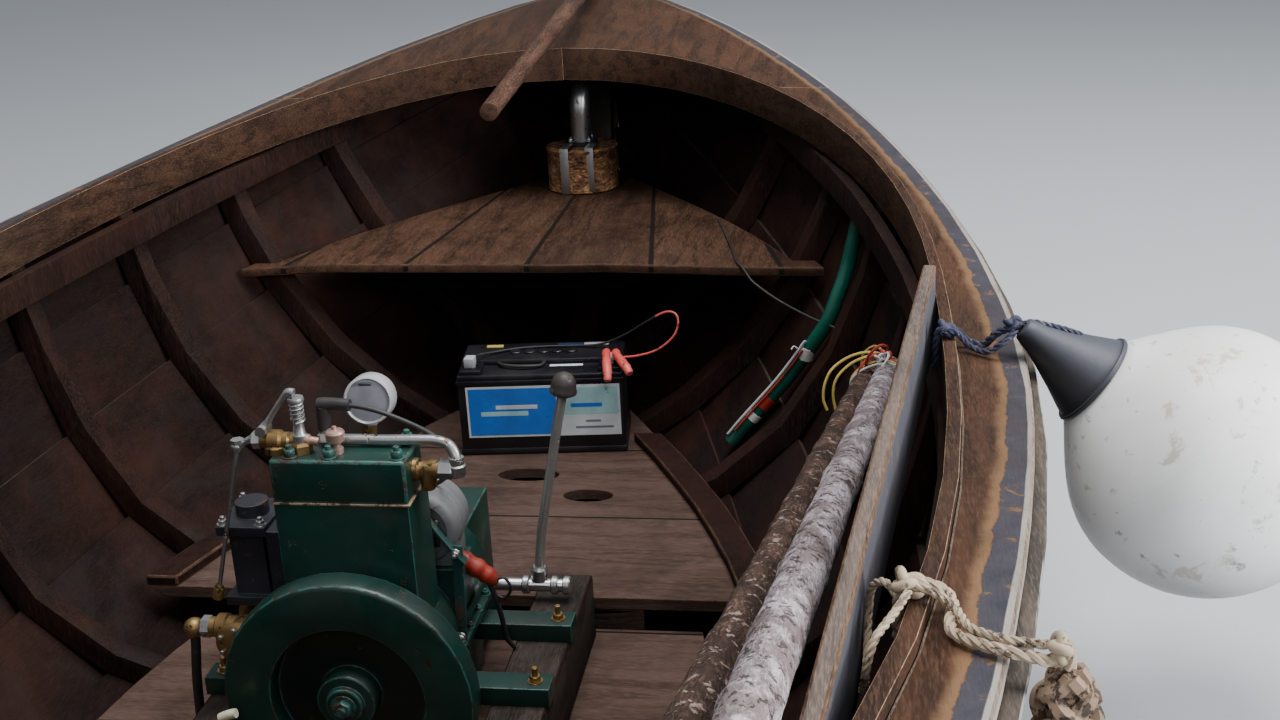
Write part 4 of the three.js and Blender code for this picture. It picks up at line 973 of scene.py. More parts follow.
def swept(name, places, radius, finish, roundness=2, radii=None):
    """A pipe or wire along a smooth line, with its finish."""
    return sweep(name, smooth_line(places), radius, roundness, radii, finish=finish)


print("shape helpers ready")

# %% [markdown]
# The engine wears dark green enamel over iron. Enamel is glossy where it is clean, dull where oil and dust
# have settled, a shade lighter where light catches a rounded corner, and it chips to brown primer. Bare
# parts are dark iron, worn steel and dull brass. All of them are one recipe with other numbers: a base
# colour, a second colour in soft clouds, a third in sharp chips, and a film of grime.

# %% Finishes of paint and metal
CLOUD_SCALE = 6.0


def coated(name, base, second, chip, metallic=0.0, rough=(.30, .60), chip_scale=30.0, chip_amount=.2,
           grime=.3, relief=.0004, grime_colour=(.014, .011, .009, 1)):
    """Paint, plastic or bare metal with clouds, chips and grime."""
    made, tree, where = new_material(name)
    clouds = blotches(tree, where, CLOUD_SCALE, .5, .20)
    chips = blotches(tree, where, chip_scale, chip_amount, .018)
    film = blotches(tree, where, 7.5, .46, .16)
    colour = mix(tree, clouds["Mask"], (*base, 1), (*second, 1))
    colour = mix(tree, chips["Mask"], colour, (*chip, 1))
    colour = mix(tree, times(tree, film["Mask"], grime), colour, grime_colour)
    dull = plus(tree, times(tree, film["Mask"], .6), times(tree, clouds["Cloud"], .4))
    height = minus(tree, times(tree, noise_node(tree, where, 260, 3, .5), .35), chips["Mask"])
    return finished(made, colour, spread(tree, dull, 0, 1, *rough), height, relief, metallic=metallic)


ENAMEL = dict(base=(.0022, .021, .0155), second=(.0050, .044, .033), chip=(.022, .016, .012),
    rough=(.26, .52), chip_amount=.16, grime=.42)
green_enamel = coated("green_enamel", **ENAMEL)
green_edge = coated("green_edge", (.012, .075, .060), (.040, .120, .110), (.045, .034, .026),
    rough=(.30, .5), chip_amount=.42, chip_scale=60, grime=.25)
polished_steel = coated("polished_steel", (.66, .65, .64), (.52, .51, .50), (.20, .14, .10), metallic=.70,
    rough=(.14, .30), chip_amount=.20, chip_scale=40, grime=.12)
dark_iron = coated("dark_iron", (.016, .017, .026), (.034, .035, .048), (.09, .045, .028), metallic=.35,
    rough=(.36, .62), chip_amount=.22, grime=.35)
iron_edge = coated("iron_edge", (.06, .062, .082), (.11, .112, .135), (.12, .06, .04), metallic=.5,
    rough=(.35, .6))
worn_steel = coated("worn_steel", (.46, .46, .47), (.60, .60, .60), (.16, .09, .05), metallic=.92,
    rough=(.24, .46), chip_amount=.24, chip_scale=45, grime=.30)
dull_brass = coated("dull_brass", (.36, .215, .085), (.50, .33, .14), (.08, .07, .035), metallic=.85,
    rough=(.28, .55), chip_amount=.30, chip_scale=34, grime=.40)
bronze = coated("bronze", (.30, .17, .075), (.44, .27, .12), (.06, .11, .085), metallic=.8, rough=(.30, .58),
    chip_amount=.36, chip_scale=26, grime=.30)
grey_paint = coated("grey_paint", (.150, .155, .165), (.215, .220, .230), (.12, .10, .085), metallic=.15,
    rough=(.36, .6), chip_amount=.18, grime=.38)
black_plastic = coated("black_plastic", (.0055, .0055, .0085), (.010, .010, .014), (.030, .030, .035),
    rough=(.22, .48), chip_amount=.12, grime=.25, relief=.00020, grime_colour=(.028, .024, .022, 1))
cable_skin = coated("cable_skin", (.012, .012, .014), (.022, .021, .024), (.05, .045, .04), rough=(.40, .62),
    chip_amount=.2, grime=.3, relief=.0001, grime_colour=(.06, .05, .042, 1))


def shaded_dish(finish, axis_z, inner, outer):
    """Darken a finish between two radii round the boat's centre line at one height: painted shade in a
    wheel's dish.
    """
    tree = finish.node_tree
    base = tree.nodes["Principled BSDF"].inputs["Base Color"]
    parts = parts_of(tree, node(tree, "ShaderNodeTexCoord").outputs["Object"])
    flat = node(tree, "ShaderNodeCombineXYZ", {1: parts["Y"], 2: minus(tree, parts["Z"], axis_z)}).outputs[0]
    radius = node(tree, "ShaderNodeVectorMath", {0: flat}, operation="LENGTH").outputs["Value"]
    # painted shade: the dish between the hub and the rim is mixed towards a near-black green
    dish_shade = times(tree, spread(tree, radius, inner - .004, inner + .008),
                 spread(tree, radius, outer - .012, outer + .002, 1, 0))
    feed(tree, mix(tree, times(tree, dish_shade, .86), base.links[0].from_socket, (.0012, .0050, .0042, 1)), base)


def rust_finish():
    """Flaking rust: orange and tan scabs over dark brown."""
    made, tree, where = new_material("flaky_rust")
    flat = drawn_out(tree, where, (1, 1, 1.7))
    coarse = noise_node(tree, flat, 42, 7, .72, .6)
    cells = node(tree, "ShaderNodeTexVoronoi", {"Vector": flat, "Scale": 95.0}).outputs["Distance"]
    colour = mix(tree, spread(tree, coarse, .38, .60), (.055, .022, .012, 1), (.33, .155, .060, 1))
    colour = mix(tree, spread(tree, coarse, .55, .70), colour, (.56, .40, .24, 1))
    colour = mix(tree, spread(tree, cells, .05, .0, 0, .7), colour, (.030, .014, .010, 1))
    return finished(made, colour, .86, plus(tree, coarse, times(tree, cells, .6)), .004)


flaky_rust = rust_finish()

# %% [markdown]
# The engine is one upright cylinder on a low crankcase, with a heavy flywheel in front and a reverse gear
# behind. Its castings are dressed first. The foot of the lever's cross shaft belongs to the gearbox casting
# but is bare steel, so its faces are told apart by where they lie. The dish of the flywheel is painted
# darker: painted shade in the hollow inside its rim.

# %% Castings
CROSS_SHAFT_FROM = .0866
CRANK_HEIGHT, HUB_RADIUS, DISH_RADIUS = .012, .043, .110

for name in ("engine_block", "cylinder_head"):
    dressed(name, green_enamel, green_edge, width=.0045, segments=3, corner=36, smooth=32)
gearbox = dressed("gearbox", green_enamel, green_edge, width=.004, segments=3, corner=36, smooth=32)
gearbox.data.materials.append(worn_steel)
for face in gearbox.data.polygons:
    if face.center.y > CROSS_SHAFT_FROM:
        face.material_index = THIRD_FINISH
wheel_enamel = coated("wheel_enamel", **ENAMEL)
# the flywheel's enamel gets painted shade in its dish
shaded_dish(wheel_enamel, CRANK_HEIGHT, HUB_RADIUS, DISH_RADIUS)
flywheel = dressed("flywheel", wheel_enamel, green_edge, width=.002, segments=3, corner=36, smooth=32)
print("gearbox", len(gearbox.data.polygons), "faces, flywheel", len(flywheel.data.polygons), "faces")

# %% [markdown]
# Castings are bolted together, and the joints show: a thin pale gasket under the head, a flange round the
# crankcase at the height of the shaft, a door in its side. One nut is modelled and copied to all its studs.

# %% Joints, flanges and nuts
gasket_tan = coated("gasket_tan", (.24, .15, .09), (.34, .25, .17), (.05, .04, .03), rough=(.6, .8),
    chip_amount=.45, chip_scale=60)
LUGS_X = (-250, -430)
LUG_TOP = -28
FLANGE_X = (-486, -440, -390, -340, -290)

assembly("head_gasket", [
    block("gasket", at(-270, -97.5, 281.6), at(-183.4, 99.5, 284.8), gasket_tan, width=.0008, segments=1)])

assembly("crankcase_flanges", [
    block("flange", at(-492, -128, -8), at(-184, 128, 6), green_enamel, width=.003),
    block("door", at(-404, 108, 20), at(-318, 124, 58), green_enamel, width=.004),
    block("base_flange", at(-286, -103, 58), at(-181, 105, 72), green_enamel, width=.003)])

assembly("engine_nuts", [
    copies("head_nuts", nut("head_nut", 8.8, 10, green_edge, 6), [(at(x, y, 348.2), UP)
        for x, y in ((-199, -68), (-199, -12), (-199, 84), (-256, -78), (-256, 82))]),
    copies("flange_nuts", nut("flange_nut", 5.8, 6, green_edge, 3), [(at(x, side * 122, 6.2), UP)
        for x in FLANGE_X for side in (-1, 1)]),
    copies("base_nuts", nut("base_nut", 6.2, 7, green_edge, 4), [(at(x, y, 72.2), UP)
        for x, y in ((-188, -98.5), (-188, 100.5))])])

assembly("holding_bolts", [
    copies("lug_bolts", nut("lug_bolt", 9, 8, dull_brass, 14), [(at(x, side * 238, LUG_TOP), UP)
        for x in LUGS_X for side in (-1, 1)])])

crank_nut = nut("crank_nut", 14, 10, green_edge, 4)
print("nuts and bolts stand on the flange, the head and the lugs")

# %% [markdown]
# The crankshaft's nut turns with the flywheel, so it is set on the wheel's own axis and rides on that body.

# %% Nut of the flywheel
wheel_low, wheel_high = (Vector(corner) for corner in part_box("flywheel"))
wheel_axis_z = (wheel_low.z + wheel_high.z) / 2
wheel_nut = copies("wheel_nut", crank_nut, [(Vector((wheel_high.x, 0, wheel_axis_z)) - at(1, 0, 0), FORWARD)])
belongs(wheel_nut, "flywheel")
print("flywheel's front at x", round(wheel_high.x, 4), "axis at z", round(wheel_axis_z, 4))

# %% [markdown]
# On top of the cylinder stands the open valve gear: a guide with its spring, a bent rocker of bright steel,
# and the long thin pushrod down to the crankcase. Beside it are a brass valve, an oil cup and the spark
# plug.

# %% Valve gear
VALVE_X = -215
GUIDE_Y = -56
SPRING_RADIUS, SPRING_RISE, SPRING_STEPS, SPRING_FOOT = 8.8, .525, 66, 394
spring_line = [at(VALVE_X + SPRING_RADIUS * math.cos(a), GUIDE_Y + SPRING_RADIUS * math.sin(a),
    SPRING_FOOT + i * SPRING_RISE) for i, a in ((i, i * math.tau / 12) for i in range(SPRING_STEPS))]
rocker = [
    swept("rocker", [at(VALVE_X, -57, 435), at(VALVE_X, -67, 435), at(VALVE_X, -90, 406),
        at(VALVE_X, -109, 380), at(VALVE_X, -130, 366), at(VALVE_X, -150, 355)], .0052, worn_steel,
        radii=[1.4, 1.4, 1.3, 1.2, 1.1, 1.1, 1, .9, .8, .8, .8, .8, .8, .8, .9, 1, 1.1, 1.2, 1.3, 1.3, 1.2,
        1.1, 1.0, .9, .9, .9, .9, 1, 1.1, 1.2, 1.3]),
    ball("rocker_tip", at(VALVE_X, -150, 355), .0085, worn_steel),
    turned("rocker_pin", [(7.5, 0), (7.5, 26)], at(VALVE_X - 13, -107, 382), FORWARD, worn_steel, 16),
    turned("rocker_lock", [(9.5, 0), (9.5, 6)], at(VALVE_X, -148, 360), UP, worn_steel, 6, smooth=20)]
assembly("rocker_and_valve", [
    turned("valve_body", [(10, 0), (11.5, 3), (11.5, 9), (14.5, 12), (14.5, 28), (11.5, 32), (11.5, 40),
        (9, 43), (9, 52)], at(VALVE_X - 2, -113, 365), TO_PORT, dull_brass, 18),
    turned("valve_foot", [(16.5, 0), (16.5, 9), (11, 12), (11, 20)], at(VALVE_X, -92, 348.3), UP, dull_brass,
        18),
    turned("valve_nut", [(12.5, 0), (13.5, 2), (12.5, 12)], at(VALVE_X - 2, -125, 365), TO_PORT, worn_steel,
        6, smooth=20),
    turned("guide_foot", [(16, 0), (16, 12), (13, 16)], at(VALVE_X, GUIDE_Y, 348.3), UP, dull_brass, 6,
        smooth=20),
    turned("pushrod_cup", [(8, 0), (8, 16), (5, 22)], at(VALVE_X, -213, 116), (0, .26, .97), dull_brass, 14),
    bar("pushrod", at(VALVE_X, -150, 352), at(VALVE_X, -212, 118), .0031, worn_steel, 12),
    *rocker,
    sweep("spring", spring_line, .0017, 1, finish=worn_steel),
    turned("guide", [(12.5, 0), (12.5, 10), (10, 12), (10, 26), (8.5, 28), (7, 45), (7, 74), (11.5, 75),
        (12, 78), (11, 81)], at(VALVE_X, GUIDE_Y, 348.3), UP, worn_steel, 20)], ["valve_gear"])

# %% Oil cup, spark plug and its lead
pink_copper = coated("pink_copper", (.52, .30, .24), (.62, .44, .38), (.20, .10, .07), metallic=.7,
    rough=(.3, .5), chip_amount=.25)
assembly("oil_cup_and_plug", [
    turned("plug_base", [(12, 0), (12, 10), (8, 12), (6.5, 20)], at(-255, -35, 348.3), UP, worn_steel, 6,
        smooth=20),
    turned("cross_pipe", [(6.5, 0), (6.5, 6), (8.5, 7), (8.5, 16), (6, 18), (6, 30)], at(-216, -60, 368),
        (0, 1, -.16), pink_copper, 18),
    turned("oil_cup", [(9.5, 0), (9.5, 7), (6.5, 9), (6.5, 14), (12.5, 18), (13.5, 30), (11.5, 33), (4, 35),
        (3, 39), (0, 40)], at(-214, -5.5, 348.3), UP, pink_copper, 22)])

assembly("spark_lead", [
    swept("lead", [at(-247, 4, 405), at(-247, 22, 403), at(-246, 51, 396), at(-246, 92, 379),
        at(-250, 124, 358), at(-270, 138, 326), at(-304, 128, 284), at(-334, 104, 254), at(-340, 88, 243)],
        .0036, cable_skin),
    swept("boot", [at(-255, -35, 366), at(-254, -34, 382), at(-252, -33, 396), at(-250, -32, 404)], .0098,
        cable_skin, roundness=3),
    swept("boot_cap", [at(-251, -38, 405), at(-250, -28, 406), at(-248, -8, 406), at(-247, 8, 405)], .0088,
        cable_skin, roundness=3)])
print("valve gear, oil cup and plug on the cylinder's head")

# %% [markdown]
# A bright water pipe leaves the head through a brass elbow; a round breather stands behind it on a thin stem.
# The magneto is a grey drum on the crankcase's port shoulder, with a strap and taped wires below it.

# %% Pipes, breather and magneto
def ring_of(x, y, z, radius, angles):
    """Places on a circle that faces forward, each with its direction."""
    return [(at(x, y + radius * math.cos(a), z + radius * math.sin(a)), FORWARD) for a in angles]


PIPE = [at(-240, -30, 356.8), at(-240, 20, 357.2), at(-240, 60, 356.8), at(-240, 100, 357.4),
    at(-240, 126, 356.8), at(-236, 147, 352), at(-229, 157, 338), at(-227, 158, 322)]
assembly("water_outlet", [
    turned("elbow", [(15.5, 0), (15.5, 7), (11.5, 10), (11.5, 20), (13.5, 24), (13.5, 36)],
        at(-227, 97.4, 320), TO_PORT, dull_brass, 20),
    turned("elbow_foot", [(8.5, 0), (11, 4), (12, 20), (12, 34), (0, 36)], at(-227, 116, 290), UP,
        dull_brass, 18),
    turned("pipe_end", [(11.5, 0), (11.5, 10), (8.5, 12)], at(-240, -34, 356.8), TO_PORT, worn_steel, 6,
        smooth=20),
    turned("elbow_nut", [(13, 0), (14.5, 2), (14.5, 19), (13, 21)], at(-227, 132, 320), TO_PORT, worn_steel,
        6, smooth=20),
    turned("elbow_end", [(10.5, 0), (12.5, 3), (12.5, 16), (10.5, 18), (10.5, 28)], at(-227, 158, 310), UP,
        worn_steel, 20),
    swept("water_pipe", PIPE, .0078, worn_steel, roundness=3)], ["cooling_pipe"])

disc_grey = coated("disc_grey", (.20, .205, .235), (.25, .255, .29), (.09, .08, .08), rough=(.34, .5),
    chip_amount=.15, grime=.2)
disc_rim = coated("disc_rim", (.45, .45, .48), (.60, .60, .62), (.15, .13, .12), metallic=.3,
    rough=(.25, .42))
DISC_FOOT, DISC_AXIS = at(-318, 19, 392), Vector((38, 3, 6)).normalized()
STEM_AXIS = (0, .16, .98)
assembly("breather_disc", [
    turned("disc", [(27, 2), (31, 4), (31, 30), (30.5, 34.5), (27, 35.5), (0, 35.8)], DISC_FOOT, DISC_AXIS,
        disc_grey, 40),
    turned("rim", [(30, 0), (33.5, 1), (35, 6), (35, 33), (34, 37.5), (32.2, 38.5), (30.8, 37), (30, 33),
        (30, 0)], DISC_FOOT, DISC_AXIS, disc_rim, 40),
    block("notch", at(-284, 12, 421), at(-278.5, 30, 425), cable_skin, width=.0015),
    bar("stem", at(-300, -10, 201.7), at(-300, 18, 374), .0068, worn_steel, 16),
    turned("stem_nut", [(12.5, 0), (14, 2), (14, 9), (11, 12)], at(-300, 15.4, 357), STEM_AXIS, disc_rim, 6,
        smooth=20),
    turned("stem_neck", [(8.5, 0), (10.5, 6), (10.5, 22)], at(-300, 11.4, 334), STEM_AXIS, dull_brass,
        18)], ["breather"])

assembly("magneto_drum", [
    turned("drum", [(52, 0), (57.5, 4), (58.5, 30), (60, 32), (60, 46), (58.5, 48), (58, 66), (55, 74),
        (50, 78), (44, 79.5), (43, 74), (16, 73), (15, 79.5), (0, 80)], at(-380, 68, 186), FORWARD,
        grey_paint, 44),
    copies("face_screws", turned("screw", [(4.2, 0), (4.2, 1.6), (3, 3)], ORIGIN, UP, worn_steel, 12),
        ring_of(-306.6, 68, 186, 30, (.4, 1.97, 3.54, 5.11))),
    block("drum_slot", at(-304, 90, 160), at(-301.4, 99, 176), cable_skin, width=.001),
    block("magneto_foot", at(-372, 64, 124.4), at(-308, 118, 176), grey_paint, width=.004)], ["magneto"])
print("plug, pipes, breather and magneto on the engine")

# %% [markdown]
# Some engine fittings hang off others: the strap that steadies the magneto, its taped wires, the manifold's
# bolts, the pump with its inlet pipe, and the lever with its dark ball.

# %% Pump, manifold bolts, strap and wires
strap_green = coated("strap_green", (.010, .046, .042), (.024, .078, .076), (.10, .08, .06),
    rough=(.26, .45), chip_amount=.35)
red_tape = coated("red_tape", (.33, .022, .012), (.45, .040, .020), (.12, .03, .02), rough=(.35, .6),
    chip_amount=.3, grime=.4)
assembly("sea_water_pump", [
    turned("pump_arm", [(18, 0), (18, 28), (20.5, 31), (20.5, 44), (15, 48), (15, 57)], at(-225, -178, 62),
        TO_STARBOARD, dull_brass, 28),
    turned("pump_neck", [(17.5, 0), (17.5, 10), (14, 13), (14, 50), (17.5, 53), (17.5, 62.2)],
        at(-225, -178, 62), TO_PORT, dull_brass, 28),
    turned("pump_nut", [(15, 0), (16.5, 2), (16.5, 13), (15, 15)], at(-225, -234, 62), TO_STARBOARD,
        worn_steel, 6, smooth=20),
    ball("pump_ball", at(-225, -262, 59), .0155, dull_brass),
    copies("pump_screws", turned("screw", [(3.8, 0), (3.8, 2.4), (2.8, 3.6)], ORIGIN, UP, worn_steel, 10),
        ring_of(-175, -178, 62, 24, (.5, 1.55, 2.6, 3.65, 4.7, 5.75))),
    turned("pump_body", [(26, 0), (30.5, 3), (30.5, 12), (24, 16), (22.5, 50), (24, 84), (30.5, 88),
        (30.5, 97), (26, 100)], at(-275, -178, 62), FORWARD, dull_brass, 32)], ["water_pump"])
assembly("pump_inlet_pipe", [
    swept("inlet", [at(-225, -262, 50), at(-226, -266, 20), at(-230, -274, -30), at(-238, -282, -90),
        at(-246, -287, -140), at(-250, -288, -173)], .0075, cable_skin, roundness=3)])

dressed("exhaust_manifold", dark_iron, iron_edge, width=.0035, segments=3)
assembly("manifold_nuts", [
    copies("manifold_bolts", nut("manifold_bolt", 7, 6, worn_steel, 5), [(at(x, y, 226.2), UP)
        for x in (-310, -232) for y in (-196, -140)])])

assembly("magneto_straps", [
    copies("strap_bolts", nut("strap_bolt", 6.2, 5, worn_steel, 6), [(at(*place), FORWARD)
        for place in ((-291, 86, 208), (-292, 124, 155), (-293, 120, 16))]),
    strip("upright_strap", [at(-297, 126, 166), at(-297, 124, 120), at(-297, 122, 60), at(-297, 120, 8)],
        TO_PORT, .016, .004, strap_green),
    strip("long_strap", [at(-297, 84, 212), at(-296, 104, 183), at(-296, 122, 158), at(-296, 137, 139)],
        FORWARD, .018, .004, strap_green)])

assembly("taped_wires", [
    swept("loop", [at(-354, 158, 74), at(-354, 176, 84), at(-354, 186, 66), at(-356, 174, 48),
        at(-358, 158, 56), at(-358, 150, 72)], .0024, cable_skin),
    swept("tail", [at(-352, 150, 86), at(-356, 160, 50), at(-362, 166, 10), at(-372, 168, -30),
        at(-384, 176, -54)], .0040, cable_skin),
    swept("tape", [at(-348, 104, 122), at(-350, 122, 112), at(-352, 140, 98), at(-354, 155, 84),
        at(-356, 163, 72)], .0135, red_tape, roundness=3, radii=[.7, .8, .9, 1, 1.1, 1.15, 1.1, 1, .95, 1,
        1.1, 1.15, 1.1, 1, .95, 1, 1.05, 1, .9, .85, .8, .7, .6, .5, .4])])

cream = coated("cream", (.62, .60, .42), (.72, .71, .55), (.30, .25, .15), rough=(.4, .6), chip_amount=.2)
assembly("loose_connector", [
    swept("connector", [at(-92, -152, 5), at(-92, -163, 2), at(-92, -176, -4)], .0070, cream, roundness=3),
    swept("red_wire", [at(-92, -172, -2), at(-93, -188, -14), at(-96, -200, -34), at(-102, -208, -50),
        at(-118, -214, -55.4), at(-146, -218, -55.6), at(-180, -214, -55.6)], .0022, red_tape)])

# %% Gear lever
knob_brown = coated("knob_brown", (.028, .022, .022), (.055, .045, .042), (.10, .07, .05), rough=(.35, .6),
    chip_amount=.35, relief=.0006)
assembly("lever_and_knob", [
    turned("lever_foot", [(12.5, 0), (13.5, 3), (13.5, 20), (10.5, 24)], at(-540, 185.6, -20), (0, .10, 1),
        worn_steel, 20),
    turned("knob", [(13, 0), (21.5, 5), (22, 9), (20.5, 12), (19.8, 20), (17.5, 28), (12, 35), (5, 38.5),
        (0, 39)], at(-540, 246, 305), (0, .16, 1), knob_brown, 28),
    copies("shaft_collars", turned("collar", [(14, 0), (15.5, 2), (15.5, 10), (14, 12)], ORIGIN, UP,
        worn_steel, 24), [(at(-540, y, -30), TO_PORT) for y in (206, 158, 226)]),
    swept("lever_rod", [at(-540, 186, -17), at(-540, 190, 22), at(-540, 197, 72), at(-540, 205, 112),
        at(-540, 222, 196), at(-540, 240, 282), at(-540, 247, 312)], .0078, polished_steel,
        roundness=4)], ["gear_lever"])
print("pump, manifold, straps, wires and lever in place")

# %% [markdown]
# The battery is built square to the axes at the origin and then turned to where it stands. Its label is
# plain: a white border, a blue field, a pale one, and grey bars where print would be.

# %% Battery
def plain(name, colour):
    """A finish of one colour with a little dust on it."""
    return coated(name, colour, tuple(min(1, c * 1.25 + .01) for c in colour), tuple(c * .5 for c in colour),
        rough=(.40, .65), chip_amount=.12, grime=.25)


label_white = plain("label_white", (.62, .66, .68))
label_blue = plain("label_blue", (.006, .155, .62))
label_pale = plain("label_pale", (.36, .60, .62))
label_grey = plain("label_grey", (.16, .18, .20))
label_navy = plain("label_navy", (.006, .020, .090))
label_yellow = plain("label_yellow", (.55, .48, .10))
clamp_red = coated("clamp_red", (.62, .055, .045), (.80, .16, .13), (.25, .03, .02), rough=(.35, .55),
    chip_amount=.25)
clamp_grey = plain("clamp_grey", (.38, .39, .42))
FRONT = -2
BATTERY_PLACE, BATTERY_TURN = at(-1256, 47, -114.7), .096
GRIP = [.9, .95, 1, 1.05, 1.1, 1.1, 1.05, 1, .95, .95, 1, 1.05, *[1.1] * 7, 1.05, 1, 1, 1, .95, .8]


def on_front(name, y0, y1, z0, z1, finish, lift=0):
    """A thin label on the battery's front face."""
    return block(name, at(FRONT - 1, y0, z0), at(FRONT + 1.0 + lift, y1, z1), finish, width=.0003, segments=1)


def on_lid(name, x0, x1, y0, y1, z, finish):
    """A thin patch on the battery's lid."""
    return block(name, at(x0, y0, z - 1), at(x1, y1, z + .8), finish, width=.0003, segments=1)


case = [
    block("case", at(-173, -174, 10), at(FRONT, 174, 160), black_plastic, width=.004),
    block("case_foot", at(-175, -176.5, 0), at(0, 176.5, 15), black_plastic, width=.004),
    block("lid_skirt", at(-175, -176.5, 157), at(0, 176.5, 168), black_plastic, width=.003),
    block("lid", at(-174, -175, 164), at(-1.5, 175, 179), black_plastic, width=.005),
    block("lid_back", at(-172, -173, 176), at(-66, 173, 190), black_plastic, width=.005),
    block("well_port", at(-62, 122, 176), at(-8, 170, 188), black_plastic, width=.003),
    block("well_starboard", at(-62, -170, 176), at(-8, -122, 188), black_plastic, width=.003),
    on_front("label_border", -157, 166, 40, 154, label_white),
    on_front("label_field", -152.5, 32, 44.5, 149.5, label_blue, .3),
    on_front("label_side", 36, 161.5, 88, 149.5, label_pale, .3),
    on_front("label_bar_1", -128, -28, 88, 98, label_pale, .5),
    on_front("label_bar_2", -96, -8, 103, 112, label_white, .5),
    on_front("label_bar_3", 62, 128, 104, 113, label_blue, .5),
    on_front("label_bar_4", 92, 124, 70, 75, label_grey, .3),
    on_front("label_bar_5", 70, 150, 56, 61, label_grey, .3),
    on_lid("yellow_patch", -160, -146, -128, -92, 190, label_yellow),
    on_lid("navy_patch", -160, -144, 26, 82, 190, label_navy),
    on_lid("pale_patch", -160, -144, 84, 138, 190, clamp_grey),
    on_lid("white_patch", -58, -48, 18, 88, 179, label_white)]
case += [
    copies("posts", turned("post", [(9.5, 0), (8.8, 22), (8, 23.5)], ORIGIN, UP, clamp_grey, 20),
        [(at(-34, y, 186), UP) for y in (-146, 146)]),
    copies("caps", turned("cap", [(13, 0), (13, 3), (11.5, 4.5)], ORIGIN, UP, black_plastic, 20),
        [(at(-110, y, 190), UP) for y in (-60, -30, 0, 30, 60)]),
    swept("handle", [at(-64, -92, 184), at(-46, -80, 186), at(-36, -52, 186), at(-34, -20, 186),
        at(-44, 0, 184), at(-64, 6, 184)], .0038, cable_skin)]
battery_box = joined("battery_box", *case)
battery_box.data.transform(Matrix.Translation(BATTERY_PLACE) @ Matrix.Rotation(BATTERY_TURN, 4, "Z"))
belongs(battery_box, "root", ["battery"])

clamps = [
    swept("clamp_a", [at(-1316, 182, 94), at(-1296, 184, 95), at(-1262, 190, 90), at(-1238, 195, 78),
        at(-1224, 197, 64)], .0088, clamp_red, roundness=3, radii=GRIP),
    swept("clamp_b", [at(-1314, 202, 94), at(-1296, 206, 95), at(-1268, 220, 91), at(-1246, 234, 84),
        at(-1234, 242, 76)], .0088, clamp_red, roundness=3, radii=GRIP),
    block("clamp_jaw", at(-1322, 176, 82), at(-1294, 208, 92), clamp_grey, width=.003),
    block("clamp_left", at(-1289, -114, 74), at(-1262, -92, 96), clamp_grey, width=.003)]
assembly("battery_clamps", clamps)
print("battery of", len(case), "pieces")

# %% [markdown]
# The silencer is nearly rusted through: its drum is turned with a lip, and two bright brackets hold it. The
# cables get their skins: the battery lead is black on the way out and red on the way back.

# %% Silencer and leads
SILENCER_X, SILENCER_Y = -2105, 8
assembly("silencer_body", [
    turned("silencer_drum", [(86, 0), (90.5, 4), (88, 9), (89, 50), (87.8, 98), (91, 103), (91.5, 108),
        (87, 109.5), (60, 109), (40, 108), (38, 109.8), (0, 110)], at(SILENCER_X, SILENCER_Y, 255.3), UP,
        flaky_rust, 64)], ["silencer"])
assembly("riser_joint", [
    copies("riser_nuts", nut("riser_nut", 6.5, 6, worn_steel, 5),
        [(at(SILENCER_X + 33 * math.cos(a), SILENCER_Y + 33 * math.sin(a), 377.3), UP)
        for a in (.8, 2.37, 3.94, 5.51)]),
    turned("riser_flange", [(40, 0), (42, 2), (42, 10), (40, 12)], at(SILENCER_X, SILENCER_Y, 365.3), UP,
        dark_iron, 32)])
dressed("silencer_riser", worn_steel, width=0, smooth=50)
bracket_line = [at(-2018, -22, 257), at(-2016, -22, 300), at(-2016, -22, 372), at(-2040, -20, 374),
    at(-2070, -16, 374)]
brackets = [
    strip("bracket_a", bracket_line, TO_PORT, .022, .003, worn_steel),
    strip("bracket_b", [place + at(-6, 62, 0) for place in bracket_line], TO_PORT, .022, .003, worn_steel)]
assembly("silencer_brackets", brackets)

RED_PARTS = ((-1.350, .285), (-1.326, .19))
for name, finishes in {"battery_lead": (cable_skin, clamp_red), "shelf_cable": (cable_skin,)}.items():
    for finish in finishes:
        leads[name].data.materials.append(finish)
for face in leads["battery_lead"].data.polygons:
    if any(face.center.x > x and face.center.y > y for x, y in RED_PARTS):
        face.material_index = 1
print("silencer dressed,", len(leads), "leads coloured")

# %% [markdown]
# Two poles lie along the port side. A real pole is a young tree: never quite straight, thicker where
# branches grew, rough with bark. Each is swept along a line that wanders a little, its radius varied by
# noise, and then its skin is pushed in and out by a finer noise. The wandering starts from a fixed seed,
# so that every run grows the same two poles.

# %% Poles
BARK_RELIEF = .0030
POLE_STEPS = 150
WANDER_SEED = 1795700729
BROWN_POLE = at(-905, 727.7, 220.8), at(1560, 499.7, 713)
GREY_POLE = at(-799, 754.5, 256), at(1480, 556.5, 722)


def bark_finish(name, dark, base, light, patch, fleck, amounts):
    """Bark: streaky wood colours with broad patches and small flecks, all of them raised or sunk."""
    made, tree, where = new_material(name)
    wood = timber(tree, where, (1, 4, 4), dark, base, light, 9, .7, .1, .30)
    patches = times(tree, blotches(tree, where, 24, amounts[0], .09)["Mask"], .8)
    flecks = times(tree, blotches(tree, where, 80, amounts[1], .03)["Mask"], .8)
    colour = mix(tree, flecks, mix(tree, patches, wood["Color"], patch), fleck)
    return finished(made, colour, wood["Roughness"], plus(tree, wood["Height"], minus(tree, flecks, patches)),
                    BARK_RELIEF, DULL * 2)


bark_brown = bark_finish("bark_brown", (.014, .0070, .0048), (.062, .031, .021), (.19, .115, .085),
                         (.022, .011, .0075, 1), (.34, .25, .215, 1), (.44, .31))
bark_grey = bark_finish("bark_grey", (.15, .115, .125), (.36, .315, .345), (.64, .575, .615),
    (.125, .088, .085, 1), (.060, .040, .038, 1), (.44, .30))


